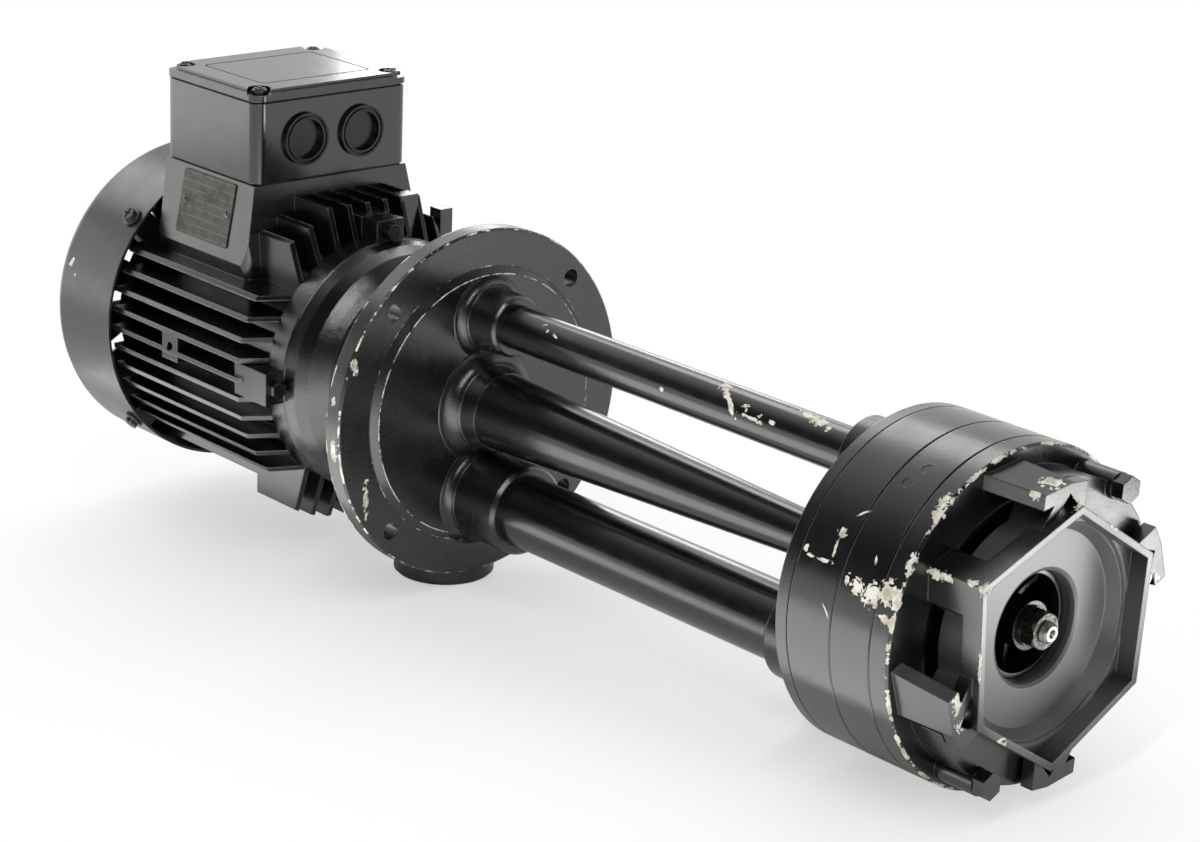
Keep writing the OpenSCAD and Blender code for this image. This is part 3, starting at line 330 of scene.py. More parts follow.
def turned_metal(name, light, dark, roughness, groove_mm):
    """Bare metal turned on a lathe, whose fine rings draw its reflections into thin bright bands."""
    material, tree, coords = blank(name)
    along = add_node(tree, "ShaderNodeSeparateXYZ", {0: coords})
    along = add_node(tree, "ShaderNodeCombineXYZ", {0: along})
    rings = add_node(
        tree, "ShaderNodeTexNoise", {"Vector": along, "Scale": 1 / groove_mm, "Detail": 3.0, "Roughness": 0.7}
    )
    stains = add_node(
        tree, "ShaderNodeTexNoise", {"Vector": coords, "Scale": 0.15, "Detail": 5.0, "Roughness": 0.65}
    )
    stains = add_node(tree, "ShaderNodeMapRange", {0: stains, 1: 0.35, 2: 0.7})
    colour = add_node(
        tree, "ShaderNodeMix", {0: stains, 6: linear(light), 7: linear(dark)}, out=2, data_type="RGBA"
    )
    rough = add_node(
        tree, "ShaderNodeMapRange", {0: rings, 1: 0.3, 2: 0.7, 3: roughness - 0.06, 4: roughness + 0.1}
    )
    normal = add_node(tree, "ShaderNodeBump", {"Height": rings, "Distance": 0.01 * MM})
    shine = add_node(
        tree, "ShaderNodeBsdfPrincipled",
        {"Base Color": colour, "Roughness": rough, "Normal": normal, "Metallic": 1.0},
    )
    add_node(tree, "ShaderNodeOutputMaterial", {0: shine})
    return material


def dull_zinc(name, light, dark):
    """Zinc plating gone dull: grey, with cloudy spangles, darker stains and no clear reflection."""
    material, tree, coords = blank(name)
    spangles = add_node(tree, "ShaderNodeTexVoronoi", {"Vector": coords, "Scale": 0.9}, out="Distance")
    stains = add_node(
        tree, "ShaderNodeTexNoise", {"Vector": coords, "Scale": 0.35, "Detail": 5.0, "Roughness": 0.7}
    )
    mottle = add_node(tree, "ShaderNodeMath", {0: spangles, 1: stains}, operation="MULTIPLY")
    mottle = add_node(tree, "ShaderNodeMapRange", {0: mottle, 1: 0.1, 2: 0.4})
    colour = add_node(
        tree, "ShaderNodeMix", {0: mottle, 6: linear(light), 7: linear(dark)}, out=2, data_type="RGBA"
    )
    rough = add_node(tree, "ShaderNodeMapRange", {0: stains, 1: 0.3, 2: 0.7, 3: 0.34, 4: 0.52})
    rounded = add_node(tree, "ShaderNodeBevel", {"Radius": 0.3 * MM}, samples=4)
    normal = add_node(tree, "ShaderNodeBump", {"Height": stains, "Distance": 0.02 * MM, "Normal": rounded})
    shine = add_node(
        tree, "ShaderNodeBsdfPrincipled",
        {"Base Color": colour, "Roughness": rough, "Normal": normal, "Metallic": 1.0},
    )
    add_node(tree, "ShaderNodeOutputMaterial", {0: shine})
    return material


def moulded(name, light, dark, roughness, grain_mm, per_mm):
    """Rubber or plastic from a mould: an even matte tone with a fine spark-eroded grain and soft edges."""
    material, tree, coords = blank(name)
    tone = add_node(
        tree, "ShaderNodeTexNoise", {"Vector": coords, "Scale": 0.12, "Detail": 4.0, "Roughness": 0.6}
    )
    colour = add_node(
        tree, "ShaderNodeMix", {0: tone, 6: linear(light), 7: linear(dark)}, out=2, data_type="RGBA"
    )
    grain = add_node(
        tree, "ShaderNodeTexNoise", {"Vector": coords, "Scale": per_mm, "Detail": 3.0, "Roughness": 0.6}
    )
    rough = add_node(
        tree, "ShaderNodeMapRange", {0: grain, 1: 0.3, 2: 0.7, 3: roughness - 0.07, 4: roughness + 0.08}
    )
    rounded = add_node(tree, "ShaderNodeBevel", {"Radius": 0.4 * MM}, samples=4)
    normal = add_node(tree, "ShaderNodeBump", {"Height": grain, "Distance": grain_mm * MM, "Normal": rounded})
    skin = add_node(
        tree, "ShaderNodeBsdfPrincipled", {"Base Color": colour, "Roughness": rough, "Normal": normal}
    )
    add_node(tree, "ShaderNodeOutputMaterial", {0: skin})
    return material


def wound_copper(name):
    """Varnished copper wire in 0.8 mm turns: brown-orange ridges, darker between them."""
    material, tree, coords = blank(name)
    x = add_node(tree, "ShaderNodeSeparateXYZ", {0: coords})
    across = add_node(tree, "ShaderNodeVectorMath", {0: coords, 1: (0.0, 1.0, 1.0)}, operation="MULTIPLY")
    out_from_shaft = add_node(tree, "ShaderNodeVectorMath", {0: across}, out="Value", operation="LENGTH")
    wire = add_node(tree, "ShaderNodeMath", {0: out_from_shaft, 1: x}, operation="ADD")
    wire = add_node(tree, "ShaderNodeMath", {0: wire, 1: 0.4}, operation="PINGPONG")
    ridge = add_node(tree, "ShaderNodeMapRange", {0: wire, 1: 0.0, 2: 0.4}, interpolation_type="SMOOTHSTEP")
    colour = add_node(
        tree, "ShaderNodeMix", {0: ridge, 6: linear("#2A1409"), 7: linear("#9C4A1E")}, out=2, data_type="RGBA"
    )
    varnish = add_node(tree, "ShaderNodeTexNoise", {"Vector": coords, "Scale": 0.3, "Detail": 3.0})
    rough = add_node(tree, "ShaderNodeMapRange", {0: varnish, 1: 0.3, 2: 0.7, 3: 0.25, 4: 0.45})
    normal = add_node(tree, "ShaderNodeBump", {"Height": ridge, "Distance": 0.3 * MM})
    coil = add_node(
        tree, "ShaderNodeBsdfPrincipled",
        {"Base Color": colour, "Roughness": rough, "Normal": normal, "Metallic": 0.6},
    )
    add_node(tree, "ShaderNodeOutputMaterial", {0: coil})
    return material


def stacked_sheets(name):
    """Punched core sheets 0.5 mm thick, seen on edge along X: fine grey steps with a little brown rust."""
    material, tree, coords = blank(name)
    x = add_node(tree, "ShaderNodeSeparateXYZ", {0: coords})
    sheet = add_node(tree, "ShaderNodeMath", {0: x, 1: 0.25}, operation="PINGPONG")
    sheet = add_node(tree, "ShaderNodeMapRange", {0: sheet, 1: 0.0, 2: 0.25}, interpolation_type="SMOOTHSTEP")
    rust = add_node(
        tree, "ShaderNodeTexNoise", {"Vector": coords, "Scale": 0.1, "Detail": 4.0, "Roughness": 0.6}
    )
    stain = add_node(tree, "ShaderNodeMapRange", {0: rust, 1: 0.4, 2: 0.7})
    colour = add_node(
        tree, "ShaderNodeMix", {0: stain, 6: linear("#77777A"), 7: linear("#4A4039")}, out=2, data_type="RGBA"
    )
    rough = add_node(tree, "ShaderNodeMapRange", {0: rust, 1: 0.3, 2: 0.7, 3: 0.35, 4: 0.55})
    normal = add_node(tree, "ShaderNodeBump", {"Height": sheet, "Distance": 0.08 * MM})
    stack = add_node(
        tree, "ShaderNodeBsdfPrincipled",
        {"Base Color": colour, "Roughness": rough, "Normal": normal, "Metallic": 0.9},
    )
    add_node(tree, "ShaderNodeOutputMaterial", {0: stack})
    return material


def dulled_plate(name):
    """Dulled aluminium plate: dark grey, faintly brushed along X, ruled every 4.4 mm and smeared."""
    material, tree, coords = blank(name)
    height = add_node(tree, "ShaderNodeSeparateXYZ", {0: coords}, out="Z")
    rule = add_node(tree, "ShaderNodeMath", {0: height, 1: 2.2}, operation="PINGPONG")
    rule = add_node(tree, "ShaderNodeMapRange", {0: rule, 1: 0.05, 2: 0.3, 3: 0.5, 4: 0.0})
    strokes = add_node(tree, "ShaderNodeVectorMath", {0: coords, 1: (0.1, 3.0, 3.0)}, operation="MULTIPLY")
    brushed = add_node(
        tree, "ShaderNodeTexNoise", {"Vector": strokes, "Scale": 1.0, "Detail": 3.0, "Roughness": 0.7}
    )
    smears = add_node(
        tree, "ShaderNodeTexNoise", {"Vector": coords, "Scale": 0.14, "Detail": 6.0, "Roughness": 0.75}
    )
    smears = add_node(tree, "ShaderNodeMapRange", {0: smears, 1: 0.5, 2: 0.64, 3: 0.0, 4: 0.6})
    colour = add_node(
        tree, "ShaderNodeMix", {0: brushed, 6: linear("#5F5F59"), 7: linear("#45453F")},
        out=2, data_type="RGBA",
    )
    for factor, other in ((rule, "#85857E"), (smears, "#242522")):
        colour = add_node(
            tree, "ShaderNodeMix", {0: factor, 6: colour, 7: linear(other)}, out=2, data_type="RGBA"
        )
    rough = add_node(tree, "ShaderNodeMapRange", {0: brushed, 1: 0.3, 2: 0.7, 3: 0.4, 4: 0.58})
    normal = add_node(tree, "ShaderNodeBump", {"Height": brushed, "Distance": 0.01 * MM})
    plate = add_node(
        tree, "ShaderNodeBsdfPrincipled",
        {"Base Color": colour, "Roughness": rough, "Normal": normal, "Metallic": 0.7},
    )
    add_node(tree, "ShaderNodeOutputMaterial", {0: plate})
    return material


def table_paper(name):
    """White paper on a table: pale and matte near the pump, and plain white further off.

    From 400 mm off its middle, camera, mirrored and refracted rays all see the same white. Within 150 mm
    the camera sees half of that white over the paper, and the other rays see the paper alone.
    """
    material, tree, coords = blank(name)
    fibres = add_node(tree, "ShaderNodeTexNoise", {"Vector": coords, "Scale": 0.004, "Detail": 3.0})
    colour = add_node(
        tree, "ShaderNodeMix", {0: fibres, 6: linear("#F6F6F4"), 7: linear("#FCFCFB")},
        out=2, data_type="RGBA",
    )
    waves = add_node(tree, "ShaderNodeTexNoise", {"Vector": coords, "Scale": 0.008, "Detail": 2.0})
    normal = add_node(tree, "ShaderNodeBump", {"Height": waves, "Distance": 1.0 * MM})
    paper = add_node(
        tree, "ShaderNodeBsdfPrincipled",
        {"Base Color": colour, "Roughness": 0.85, "Specular IOR Level": 0.1, "Normal": normal},
    )
    white = add_node(tree, "ShaderNodeEmission", {"Color": (1.0, 1.0, 1.0, 1.0), "Strength": 1.0})
    # Distance from the point below the pump's middle, which counts for less along the shaft
    level = add_node(tree, "ShaderNodeVectorMath", {0: coords, 1: (60.0, 0.0, 0.0)}, operation="SUBTRACT")
    level = add_node(tree, "ShaderNodeVectorMath", {0: level, 1: (0.75, 1.0, 0.0)}, operation="MULTIPLY")
    away = add_node(tree, "ShaderNodeVectorMath", {0: level}, out="Value", operation="LENGTH")
    ray = add_node(tree, "ShaderNodeLightPath", out="Is Camera Ray").node.outputs
    near = add_node(tree, "ShaderNodeMath", {0: ray["Is Camera Ray"], 1: 0.5}, operation="MULTIPLY")
    ground = add_node(
        tree, "ShaderNodeMapRange", {0: away, 1: 150.0, 2: 400.0, 3: near, 4: 1.0},
        interpolation_type="SMOOTHSTEP",
    )
    seen = ray["Is Camera Ray"]
    for other in ("Is Glossy Ray", "Is Transmission Ray"):
        seen = add_node(tree, "ShaderNodeMath", {0: seen, 1: ray[other]}, operation="MAXIMUM")
    ground = add_node(tree, "ShaderNodeMath", {0: ground, 1: seen}, operation="MULTIPLY")
    look = add_node(tree, "ShaderNodeMixShader", {0: ground, 1: paper, 2: white})
    add_node(tree, "ShaderNodeOutputMaterial", {0: look})
    return material


def put(objects, material):
    """Gives a material to every slot of the named CAD nodes, or of new pieces."""
    for item in objects:
        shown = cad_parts[item] if isinstance(item, str) else item
        if not shown.data.materials:
            shown.data.materials.append(material)
        for slot in shown.material_slots:
            slot.material = material


def surface(name, grid, closed_u=True, closed_v=True):
    """Makes a smooth mesh object from a grid of points of shape (u, v, 3) in millimetres."""
    rows, columns = grid.shape[:2]
    index = np.arange(rows * columns).reshape(rows, columns)
    index = np.vstack([index, index[:1]]) if closed_u else index
    index = np.hstack([index, index[:, :1]]) if closed_v else index
    quads = np.stack([index[:-1, :-1], index[:-1, 1:], index[1:, 1:], index[1:, :-1]], axis=-1).reshape(-1, 4)
    mesh = bpy.data.meshes.new(name)
    mesh.vertices.add(rows * columns)
    mesh.vertices.foreach_set("co", (grid.reshape(-1, 3) * MM).astype(np.float32).ravel())
    mesh.loops.add(quads.size)
    mesh.loops.foreach_set("vertex_index", quads.ravel().astype(np.int32))
    mesh.polygons.add(len(quads))
    mesh.polygons.foreach_set("loop_start", np.arange(0, quads.size, 4, dtype=np.int32))
    mesh.polygons.foreach_set("use_smooth", np.full(len(quads), True))
    mesh.update(calc_edges=True)
    mesh.validate()
    made = bpy.data.objects.new(name, mesh)
    bpy.context.scene.collection.objects.link(made)
    return made


def flange_height(y, z):
    """Height of the flange's tank face, whose register is level at its top and slopes off round it."""
    return np.interp(np.hypot(y, z), [REGISTER_TOP_R, REGISTER_FOOT_R], [REGISTER_H, 0.0])


def head_height(y, z):
    """Height of the head's back face, which is level."""
    return np.full(y.shape, HEAD_X)


def sleeve_blend(name, z0, radius, taper, blend, height, forward):
    """Cast blend round a sleeve along X at height z0.

    With t from 0 to 90 degrees the outline is r = R + f (1 - sin t) and x = h + f (1 - cos t), where h is the
    height of the face below it and R the sleeve's radius there; it closes below the two surfaces.
    """
    sunk, inset, skirt = 0.4, 0.6, 0.2
    turn = np.linspace(0, 2 * np.pi, 128, endpoint=False)[:, None]
    t = np.linspace(0, np.pi / 2, 9)[None, :]
    lift = blend * (1 - np.cos(t))
    out = radius - taper * lift + blend * (1 - np.sin(t))
    lift = np.hstack([[[-sunk]], lift, lift[:, -1:], [[-sunk]]])
    out = np.hstack([out[:, :1] + skirt, out, out[:, -1:] - inset, out[:, -1:] - inset])
    y = out * np.cos(turn)
    z = z0 + out * np.sin(turn)
    x = height(y, z) + forward * lift
    grid = np.stack([x, y, z], axis=-1)
    made = surface(name, grid if forward > 0 else grid[:, ::-1])
    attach(made, "pump_body")
    return made


class PUMP_OT_castings(bpy.types.Operator):
    """Paint the castings, pipes and cowl with black enamel and their wear"""

    bl_idname = "pump.castings"
    bl_label = "Paint the castings"

    def execute(self, context):
        settings = context.scene.pump_paint
        wear = settings.edge_wear
        # Sprayed tube: the smoothest black, with long clean streaks and a few deep chips
        pipes = enamel("gloss_enamel_on_tube", settings, -0.02, 0.02, 0.008, wear, self.pipe_chips())
        # Machined casings: an even wet black, with pale primer where knocks took the paint off
        casings = enamel(
            "chipped_enamel_on_casings", settings, 0.0, 0.03, 0.025, wear, self.casing_chips(),
            [(288.2, 77.2, 0.75, 0.46), (320.4, HEAD_R, 0.5, 0.56)],
        )
        # Cover: black painted grey in the dish round the eye, a painted reflection of the bright table, with
        # a broken pale line round its front edge
        cover = enamel(
            "chipped_enamel_with_painted_sheen_on_cover", settings, 0.03, 0.03, 0.02, 0.0, self.cover_chips(),
            [(353.2, 77.0, 1.2, 0.43), (343.2, HEAD_R, 0.5, 0.56)], painted_sheen_radius=52.0,
        )
        # Flange: softer gloss under a little dust, with thin rubbed lines on its rim, and thin pale lines on
        # its register that are painted highlights along its edges
        flange = enamel(
            "smudged_enamel_with_painted_highlights_on_iron", settings, 0.05, 0.04, 0.035, wear * 0.5, self.flange_chips(),
            [(-0.2, 89.8, 0.7, 0.46), (-9.8, 89.8, 0.6, 0.5),
             # The two rings on the register are painted highlights along its edges, drawn in the chips'
             # colour
             (REGISTER_H, REGISTER_TOP_R, 0.35, 0.44), (0.0, 71.2, 0.25, 0.52)], dust=0.14,
        )
        # Sand casting: wet gloss broken into specks by the grain of the mould
        rough_cast = enamel("enamel_on_sand_casting", settings, -0.05, 0.04, 0.11, 0.0, dust=0.06)
        # Paint that has pooled in fillets and round bolt heads: duller and uneven
        fillets = enamel("enamel_in_cast_fillets", settings, 0.05, 0.05, 0.06, 0.0)
        # Die casting: soft gloss on smooth fins
        housing = enamel("enamel_on_die_casting", settings, 0.02, 0.03, 0.03, wear * 0.5)
        # Flat box: the clearest reflections, in which the table shows
        box = enamel("enamel_on_box", settings, -0.06, 0.015, 0.006, wear * 0.3)
        # Pressed steel: satin, so that light spreads evenly over the round cowl
        cowl = enamel(
            "enamel_on_pressed_steel", settings, 0.12, 0.02, 0.02, wear * 0.3,
            [round_chip(-253.1, 161.6, COWL_R, 1.6, 2.6), round_chip(-247.5, 165.6, COWL_R, 0.8, 1.0)],
        )
        put(["vent_pipe", "delivery_pipe", "shaft_column"], pipes)
        put(["stage_casing_1", "stage_casing_2", "casing_plugs"], casings)
        put(["suction_cover", "cover_bolts"], cover)
        put(["mounting_flange"], flange)
        put(["drive_end_shield", "back_cover", "stage_diaphragm", "impeller_1", "impeller_2"], rough_cast)
        put(["shield_bolts"], fillets)
        put(["stator_housing", "rear_end_shield"], housing)
        put(["terminal_box", "terminal_lid"], box)
        put(["fan_cowl", "cowl_screws"], cowl)
        return {"FINISHED"}

    def casing_chips(self):
        """Chips on the round side of the stage casings: station, angle, half sizes and turn."""
        spots = [
            (338.6, 162.3, 4.6, 4.6, 10), (330.4, 161.9, 3.4, 3.0, -20), (324.4, 161.1, 1.5, 2.6, 0),
            (347.4, 160.2, 5.0, 4.8, 0), (313.3, 148.2, 2.4, 2.0, 0), (313.0, 153.5, 0.7, 5.2, 3),
            (309.6, 158.3, 4.6, 0.7, 6), (318.5, 140.1, 3.0, 0.5, 40), (298.1, 156.8, 1.0, 1.4, 0),
            (301.8, 158.2, 1.8, 0.7, 0), (335.2, 152.2, 0.6, 1.6, 20), (290.5, 154.5, 1.6, 2.6, 0),
            (289.4, 147.0, 0.9, 2.4, 0), (316.5, 172.5, 0.4, 3.6, 40), (306.0, 40.0, 3.0, 2.4, 20),
            (333.0, 300.0, 2.4, 4.0, -10),
        ]
        return [round_chip(x, angle, HEAD_R, *half, turn) for x, angle, *half, turn in spots]

    def cover_chips(self):
        """Chips on the suction cover: at its front edge, by station and angle, then on rim and legs."""
        edge = [
            (347.4, 160.2, 5.0, 4.8), (350.6, 168.1, 5.0, 1.8), (350.6, 127.0, 2.6, 4.0),
            (351.2, 131.8, 2.4, 3.0), (352.4, 149.0, 1.6, 5.0), (352.2, 161.0, 1.8, 4.8),
        ]
        corners = [
            (357.5, -56.5, 34.8, 4.2, 2.4, 2.4), (363.6, -56.3, 34.5, 3.0, 2.2, 2.0),
            (376.3, -55.7, 36.3, 3.2, 2.0, 1.4), (382.4, -55.4, 35.2, 1.7, 3.0, 3.6),
            (373.8, -8.0, 68.6, 5.0, 4.4, 1.7), (381.0, -1.0, 60.5, 2.4, 5.0, 2.6),
            (374.6, -19.0, 65.8, 2.2, 1.6, 2.4), (379.0, -62.0, -14.0, 1.4, 2.6, 5.4),
            (379.0, -58.2, -24.5, 1.4, 3.4, 3.0), (382.9, -54.4, 0.0, 0.9, 1.0, 8.0),
            (382.9, -40.0, -38.0, 0.9, 6.0, 3.0), (382.9, 30.0, 46.0, 0.9, 7.0, 3.0),
            (382.9, 55.0, 10.0, 1.0, 1.4, 8.0), (379.0, 60.0, 12.0, 1.2, 3.0, 3.0),
        ]
        return [round_chip(x, angle, HEAD_R, *half) for x, angle, *half in edge] + [
            flat_chip(*chip) for chip in corners
        ]

    def pipe_chips(self):
        """Chips on the upper pipe, by station, angle about its own axis, half sizes and turn."""
        spots = [
            (176.8, 108.0, 3.6, 3.0, 0), (181.5, 128.0, 5.0, 1.6, -42), (187.0, 152.0, 5.6, 1.4, -50),
            (201.5, 164.0, 7.0, 0.9, -3), (195.5, 140.0, 2.4, 0.9, 15), (197.0, 150.0, 0.8, 0.9, 0),
            (206.0, 152.0, 1.4, 0.8, 30), (214.0, 156.0, 2.0, 1.0, 0), (236.0, 108.0, 7.6, 2.6, -14),
            (228.0, 100.0, 5.0, 1.6, -10), (245.0, 120.0, 1.4, 1.6, 0), (53.2, 124.0, 1.8, 0.7, 20),
            (57.5, 138.0, 0.8, 1.2, 0), (63.5, 142.0, 2.2, 0.6, -20), (142.0, 175.0, 2.0, 1.0, 0),
        ]
        return [round_chip(x, angle, VENT_R, *half, turn, VENT_Z) for x, angle, *half, turn in spots]

    def flange_chips(self):
        """Scrapes on the flange's tank face and on its rim."""
        return [
            flat_chip(0.0, -72.6, -36.0, 0.8, 1.5, 9.0), flat_chip(0.0, -80.5, 33.5, 0.8, 1.8, 4.0),
            round_chip(-4.5, 186.0, FLANGE_R, 2.4, 5.0), round_chip(-6.0, 170.0, FLANGE_R, 1.6, 2.2),
        ]


class PUMP_OT_metals(bpy.types.Operator):
    """Give the metal, rubber and plastic parts their finishes"""

    bl_idname = "pump.metals"
    bl_label = "Finish the other parts"

    def execute(self, context):
        # Turned steel: grey, with narrow bright bands round the shaft
        steel = turned_metal("turned_steel", "#A9A9A6", "#6E6C68", 0.32, 0.35)
        # Tin bronze: warm yellow-brown, duller than brass
        bronze = turned_metal("turned_bronze", "#A9814A", "#7B5A2E", 0.32, 0.4)
        # Yellow brass studs, bright where the nuts have rubbed them
        brass = turned_metal("bright_brass", "#C9A24F", "#9A7631", 0.28, 0.5)
        # Dull zinc on nut, screws and rivets: a cloudy dark grey beside the black
        zinc = dull_zinc("dull_zinc_plating", "#787874", "#3A3936")
        put(["shaft", "spacer_sleeve", "drive_bearing_inner", "drive_bearing_outer", "drive_bearing_balls",
             "rear_bearing_inner", "rear_bearing_outer", "rear_bearing_balls"], steel)
        put(["impeller_nut", "lid_screws", "nameplate_rivets"], zinc)
        put(["column_bushing"], bronze)
        put(["terminal_studs"], brass)
        put(["rotor_core", "stator_core"], stacked_sheets("core_sheets"))
        put(["stator_winding"], wound_copper("varnished_copper"))
        put(["nameplate"], dulled_plate("dulled_aluminium"))
        put(["box_gasket", "lid_gasket", "shaft_seal"],
            moulded("nitrile_rubber", "#0E0E0E", "#181817", 0.6, 0.03, 2.0))
        put(["fan"], moulded("nylon_fan", "#101010", "#181818", 0.45, 0.02, 2.5))
        put(["entry_plugs"], moulded("polyamide_plug", "#0A0A0A", "#111110", 0.26, 0.012, 2.5))
        put(["terminal_block"], moulded("phenolic_board", "#9A7B4A", "#7F6238", 0.5, 0.02, 2.0))
        return {"FINISHED"}


class PUMP_OT_blends(bpy.types.Operator):
    """Add the cast blends where the sleeves rise from the flange and from the head"""

    bl_idname = "pump.blends"
    bl_label = "Cast blends"

    def execute(self, context):
        blend = context.scene.pump_pieces.blend_radius / MM
        # Name, height of the axis, sleeve's radius, its taper, blend, the face it stands on and its way
        sleeves = [
            ("vent_sleeve_blend", VENT_Z, 16.9, 0.06, blend, flange_height, 1.0),
            ("column_blend", 0.0, 23.5, 0.2, blend + 2, flange_height, 1.0),
            ("delivery_sleeve_blend", DELIVERY_Z, 23.0, 0.0, blend, flange_height, 1.0),
            ("vent_head_blend", VENT_Z, 19.5, 0.0, 3.0, head_height, -1.0),
            ("delivery_head_blend", DELIVERY_Z, 23.0, 0.0, 4.0, head_height, -1.0),
        ]
        made = [sleeve_blend(*sleeve) for sleeve in sleeves]
        put(made, bpy.data.materials["enamel_in_cast_fillets"])
        return {"FINISHED"}


class PUMP_OT_thread(bpy.types.Operator):
    """Add the thread that shows on the shaft's end in front of the nut"""

    bl_idname = "pump.thread"
    bl_label = "Shaft thread"

    def execute(self, context):
        # Helix r = 4.5 + 0.45 w, where w is a triangle wave of x/pitch - turn and fades over the last 0.6 mm
        pitch = context.scene.pump_pieces.thread_pitch / MM
        start, end, core, depth, fade = 371.4, 373.6, 4.5, 0.45, 0.6
        turn = np.linspace(0, 2 * np.pi, 96, endpoint=False)[:, None]
        x = np.linspace(start, end, 45)[None, :]
        phase = (x / pitch - turn / (2 * np.pi)) % 1.0
        r = core + depth * (1 - 2 * np.abs(phase - 0.5)) * np.clip((end - x) / fade, 0, 1)
        x = np.hstack([x[:, :1], x, x[:, -1:]])
        hidden = np.full((len(turn), 1), core - 0.2)
        r = np.hstack([hidden, r, hidden])
        grid = np.stack([np.broadcast_to(x, r.shape), r * np.cos(turn), r * np.sin(turn)], axis=-1)
        made = surface("shaft_thread", grid)
        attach(made, "rotor")
        put([made], bpy.data.materials["turned_steel"])
        return {"FINISHED"}


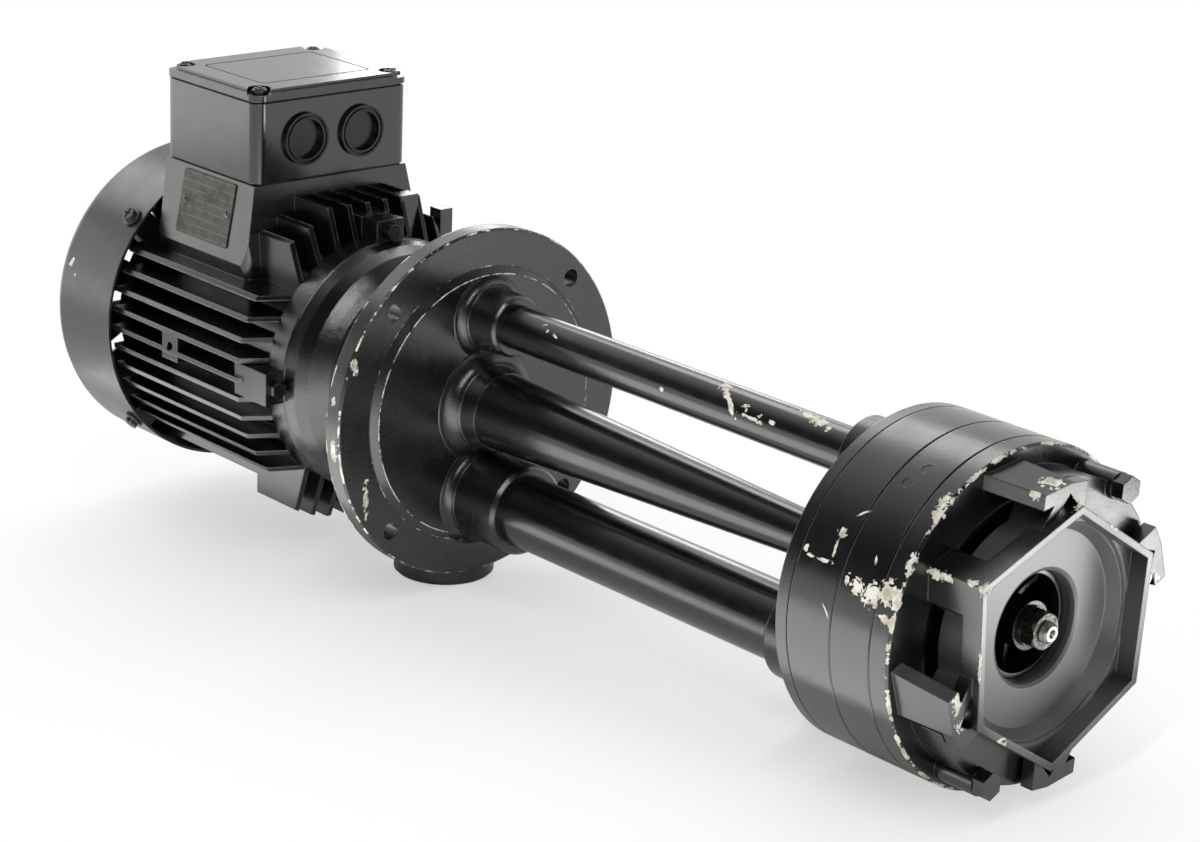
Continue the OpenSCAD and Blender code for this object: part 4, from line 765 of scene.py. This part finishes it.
class PUMP_OT_stage(bpy.types.Operator):
    """Set up the camera, the table and the light"""

    bl_idname = "pump.stage"
    bl_label = "Studio"

    def execute(self, context):
        settings = context.scene.pump_stage
        camera = bpy.data.cameras.new("camera")
        camera.lens, camera.sensor_width = settings.lens, 36.0
        camera.clip_start, camera.clip_end = 0.05, 50.0
        eye = bpy.data.objects.new("camera", camera)
        turn = (
            Matrix.Rotation(settings.azimuth, 4, "Z")
            @ Matrix.Rotation(math.pi / 2 - settings.elevation, 4, "X")
            @ Matrix.Rotation(settings.roll, 4, "Z")
        )
        eye.matrix_world = Matrix.Translation(settings.location) @ turn
        context.scene.collection.objects.link(eye)
        context.scene.camera = eye
        self.table(settings)
        self.lamps(context, settings.light_level)
        self.room(context)
        context.scene.view_settings.view_transform = "Standard"
        return {"FINISHED"}

    def table(self, settings):
        """Table paper: the plane z = height + (x - station) tan(slope), on which stub and head lie."""
        side = np.linspace(-TABLE_REACH, TABLE_REACH, 41)
        x, y = np.meshgrid(side, side, indexing="ij")
        z = TABLE_Z + (x - TABLE_X) * math.tan(settings.floor_slope)
        made = surface("table", np.stack([x, y, z], axis=-1)[:, ::-1], False, False)
        put([made], table_paper("table_paper"))

    def lamps(self, context, level):
        """Soft boxes, unseen by the camera: four on the left and behind, a strip above and two on the table.

        The two on the table stand for the bright paper that the gloss mirrors.
        """
        # Name, place and aim in metres, turn in degrees, width and height in metres, radiance
        boxes = [
            ("window", (-0.98, -0.44, 0.14), (-0.15, -0.05, 0.05), 0, 0.60, 0.52, 1.7),
            ("left", (-1.20, -0.10, 0.75), (-0.10, 0.0, 0.0), 0, 0.60, 0.42, 3.0),
            ("rear", (-0.76, 0.66, 1.10), (0.05, 0.0, 0.0), 0, 0.70, 0.44, 3.4),
            ("lid", (-1.20, 1.16, 0.46), (-0.15, 0.0, 0.1), 0, 0.56, 0.30, 5.0),
            ("key", (0.67, -0.61, 1.16), (0.05, 0.0, 0.0), -26, 0.05, 1.00, 46.0),
            ("low", (0.60, 0.15, -0.058), (0.543, 0.15, 0.942), 0, 0.30, 0.24, 9.0),
            ("table", (0.05, -0.27, -0.088), (-0.007, -0.27, 0.912), 0, 0.36, 0.80, 2.0),
        ]
        for name, at, aim, turn, wide, high, radiance in boxes:
            lamp = bpy.data.lights.new(name, "AREA")
            lamp.shape, lamp.size, lamp.size_y = "RECTANGLE", wide, high
            lamp.energy = level * radiance * math.pi * wide * high
            box = bpy.data.objects.new(name, lamp)
            facing = (Vector(aim) - Vector(at)).to_track_quat("-Z", "Y").to_matrix().to_4x4()
            roll = Matrix.Rotation(math.radians(turn), 4, "Z")
            box.matrix_world = Matrix.Translation(at) @ facing @ roll
            box.visible_camera = False
            context.scene.collection.objects.link(box)

    def room(self, context):
        """World light: bright above and behind, dark by the camera, and white where the paper ends."""
        world = bpy.data.worlds.new("studio")
        world.use_nodes = True
        tree = world.node_tree
        tree.nodes.clear()
        way = add_node(tree, "ShaderNodeTexCoord", out="Generated")
        toward = add_node(
            tree, "ShaderNodeVectorMath", {0: way, 1: (-0.62, 0.68, 0.39)},
            out="Value", operation="DOT_PRODUCT",
        )
        glow = add_node(
            tree, "ShaderNodeMapRange", {0: toward, 1: 0.1, 2: 0.9, 3: 0.03, 4: 1.0},
            interpolation_type="SMOOTHSTEP",
        )
        # Scattered light reaches the pump from every side of the room
        scattered = add_node(tree, "ShaderNodeLightPath", out="Is Diffuse Ray")
        even = add_node(tree, "ShaderNodeMapRange", {0: scattered, 3: 0.0, 4: 0.4})
        glow = add_node(tree, "ShaderNodeMath", {0: glow, 1: even}, operation="ADD")
        # The white ground fades out between 3 and 5 degrees over the horizon, for every kind of ray
        height = add_node(tree, "ShaderNodeSeparateXYZ", {0: way}, out="Z")
        ground = add_node(
            tree, "ShaderNodeMapRange", {0: height, 1: 0.06, 2: 0.09, 3: 1.0, 4: 0.0},
            interpolation_type="SMOOTHSTEP",
        )
        glow = add_node(tree, "ShaderNodeMath", {0: glow, 1: ground}, operation="MAXIMUM")
        room = add_node(tree, "ShaderNodeBackground", {"Color": (1.0, 1.0, 1.0, 1.0), "Strength": glow})
        add_node(tree, "ShaderNodeOutputWorld", {0: room})
        context.scene.world = world


class PUMP_PT_panel(bpy.types.Panel):
    """Buttons and settings of the pump's looks"""

    bl_idname = "PUMP_PT_panel"
    bl_label = "Immersion pump"
    bl_space_type = "VIEW_3D"
    bl_region_type = "UI"
    bl_category = "Pump"

    def draw(self, context):
        for group in ("pump_paint", "pump_pieces", "pump_stage"):
            settings = getattr(context.scene, group)
            for name in settings.__annotations__:
                self.layout.prop(settings, name)
        for operator in OPERATORS:
            self.layout.operator(operator.bl_idname)


OPERATORS = (PUMP_OT_castings, PUMP_OT_metals, PUMP_OT_blends, PUMP_OT_thread, PUMP_OT_stage)
CLASSES = (PaintSettings, PieceSettings, StageSettings, *OPERATORS, PUMP_PT_panel)


def register():
    """Registers the classes and hangs the settings on the scene."""
    for item in CLASSES:
        bpy.utils.register_class(item)
    bpy.types.Scene.pump_paint = bpy.props.PointerProperty(type=PaintSettings)
    bpy.types.Scene.pump_pieces = bpy.props.PointerProperty(type=PieceSettings)
    bpy.types.Scene.pump_stage = bpy.props.PointerProperty(type=StageSettings)


def unregister():
    """Takes the settings and classes away again."""
    del bpy.types.Scene.pump_stage
    del bpy.types.Scene.pump_pieces
    del bpy.types.Scene.pump_paint
    for item in reversed(CLASSES):
        bpy.utils.unregister_class(item)


def main():
    """Builds everything."""
    register()
    bpy.ops.pump.castings()
    bpy.ops.pump.metals()
    bpy.ops.pump.blends()
    bpy.ops.pump.thread()
    bpy.ops.pump.stage()


if __name__ == "__main__":
    main()
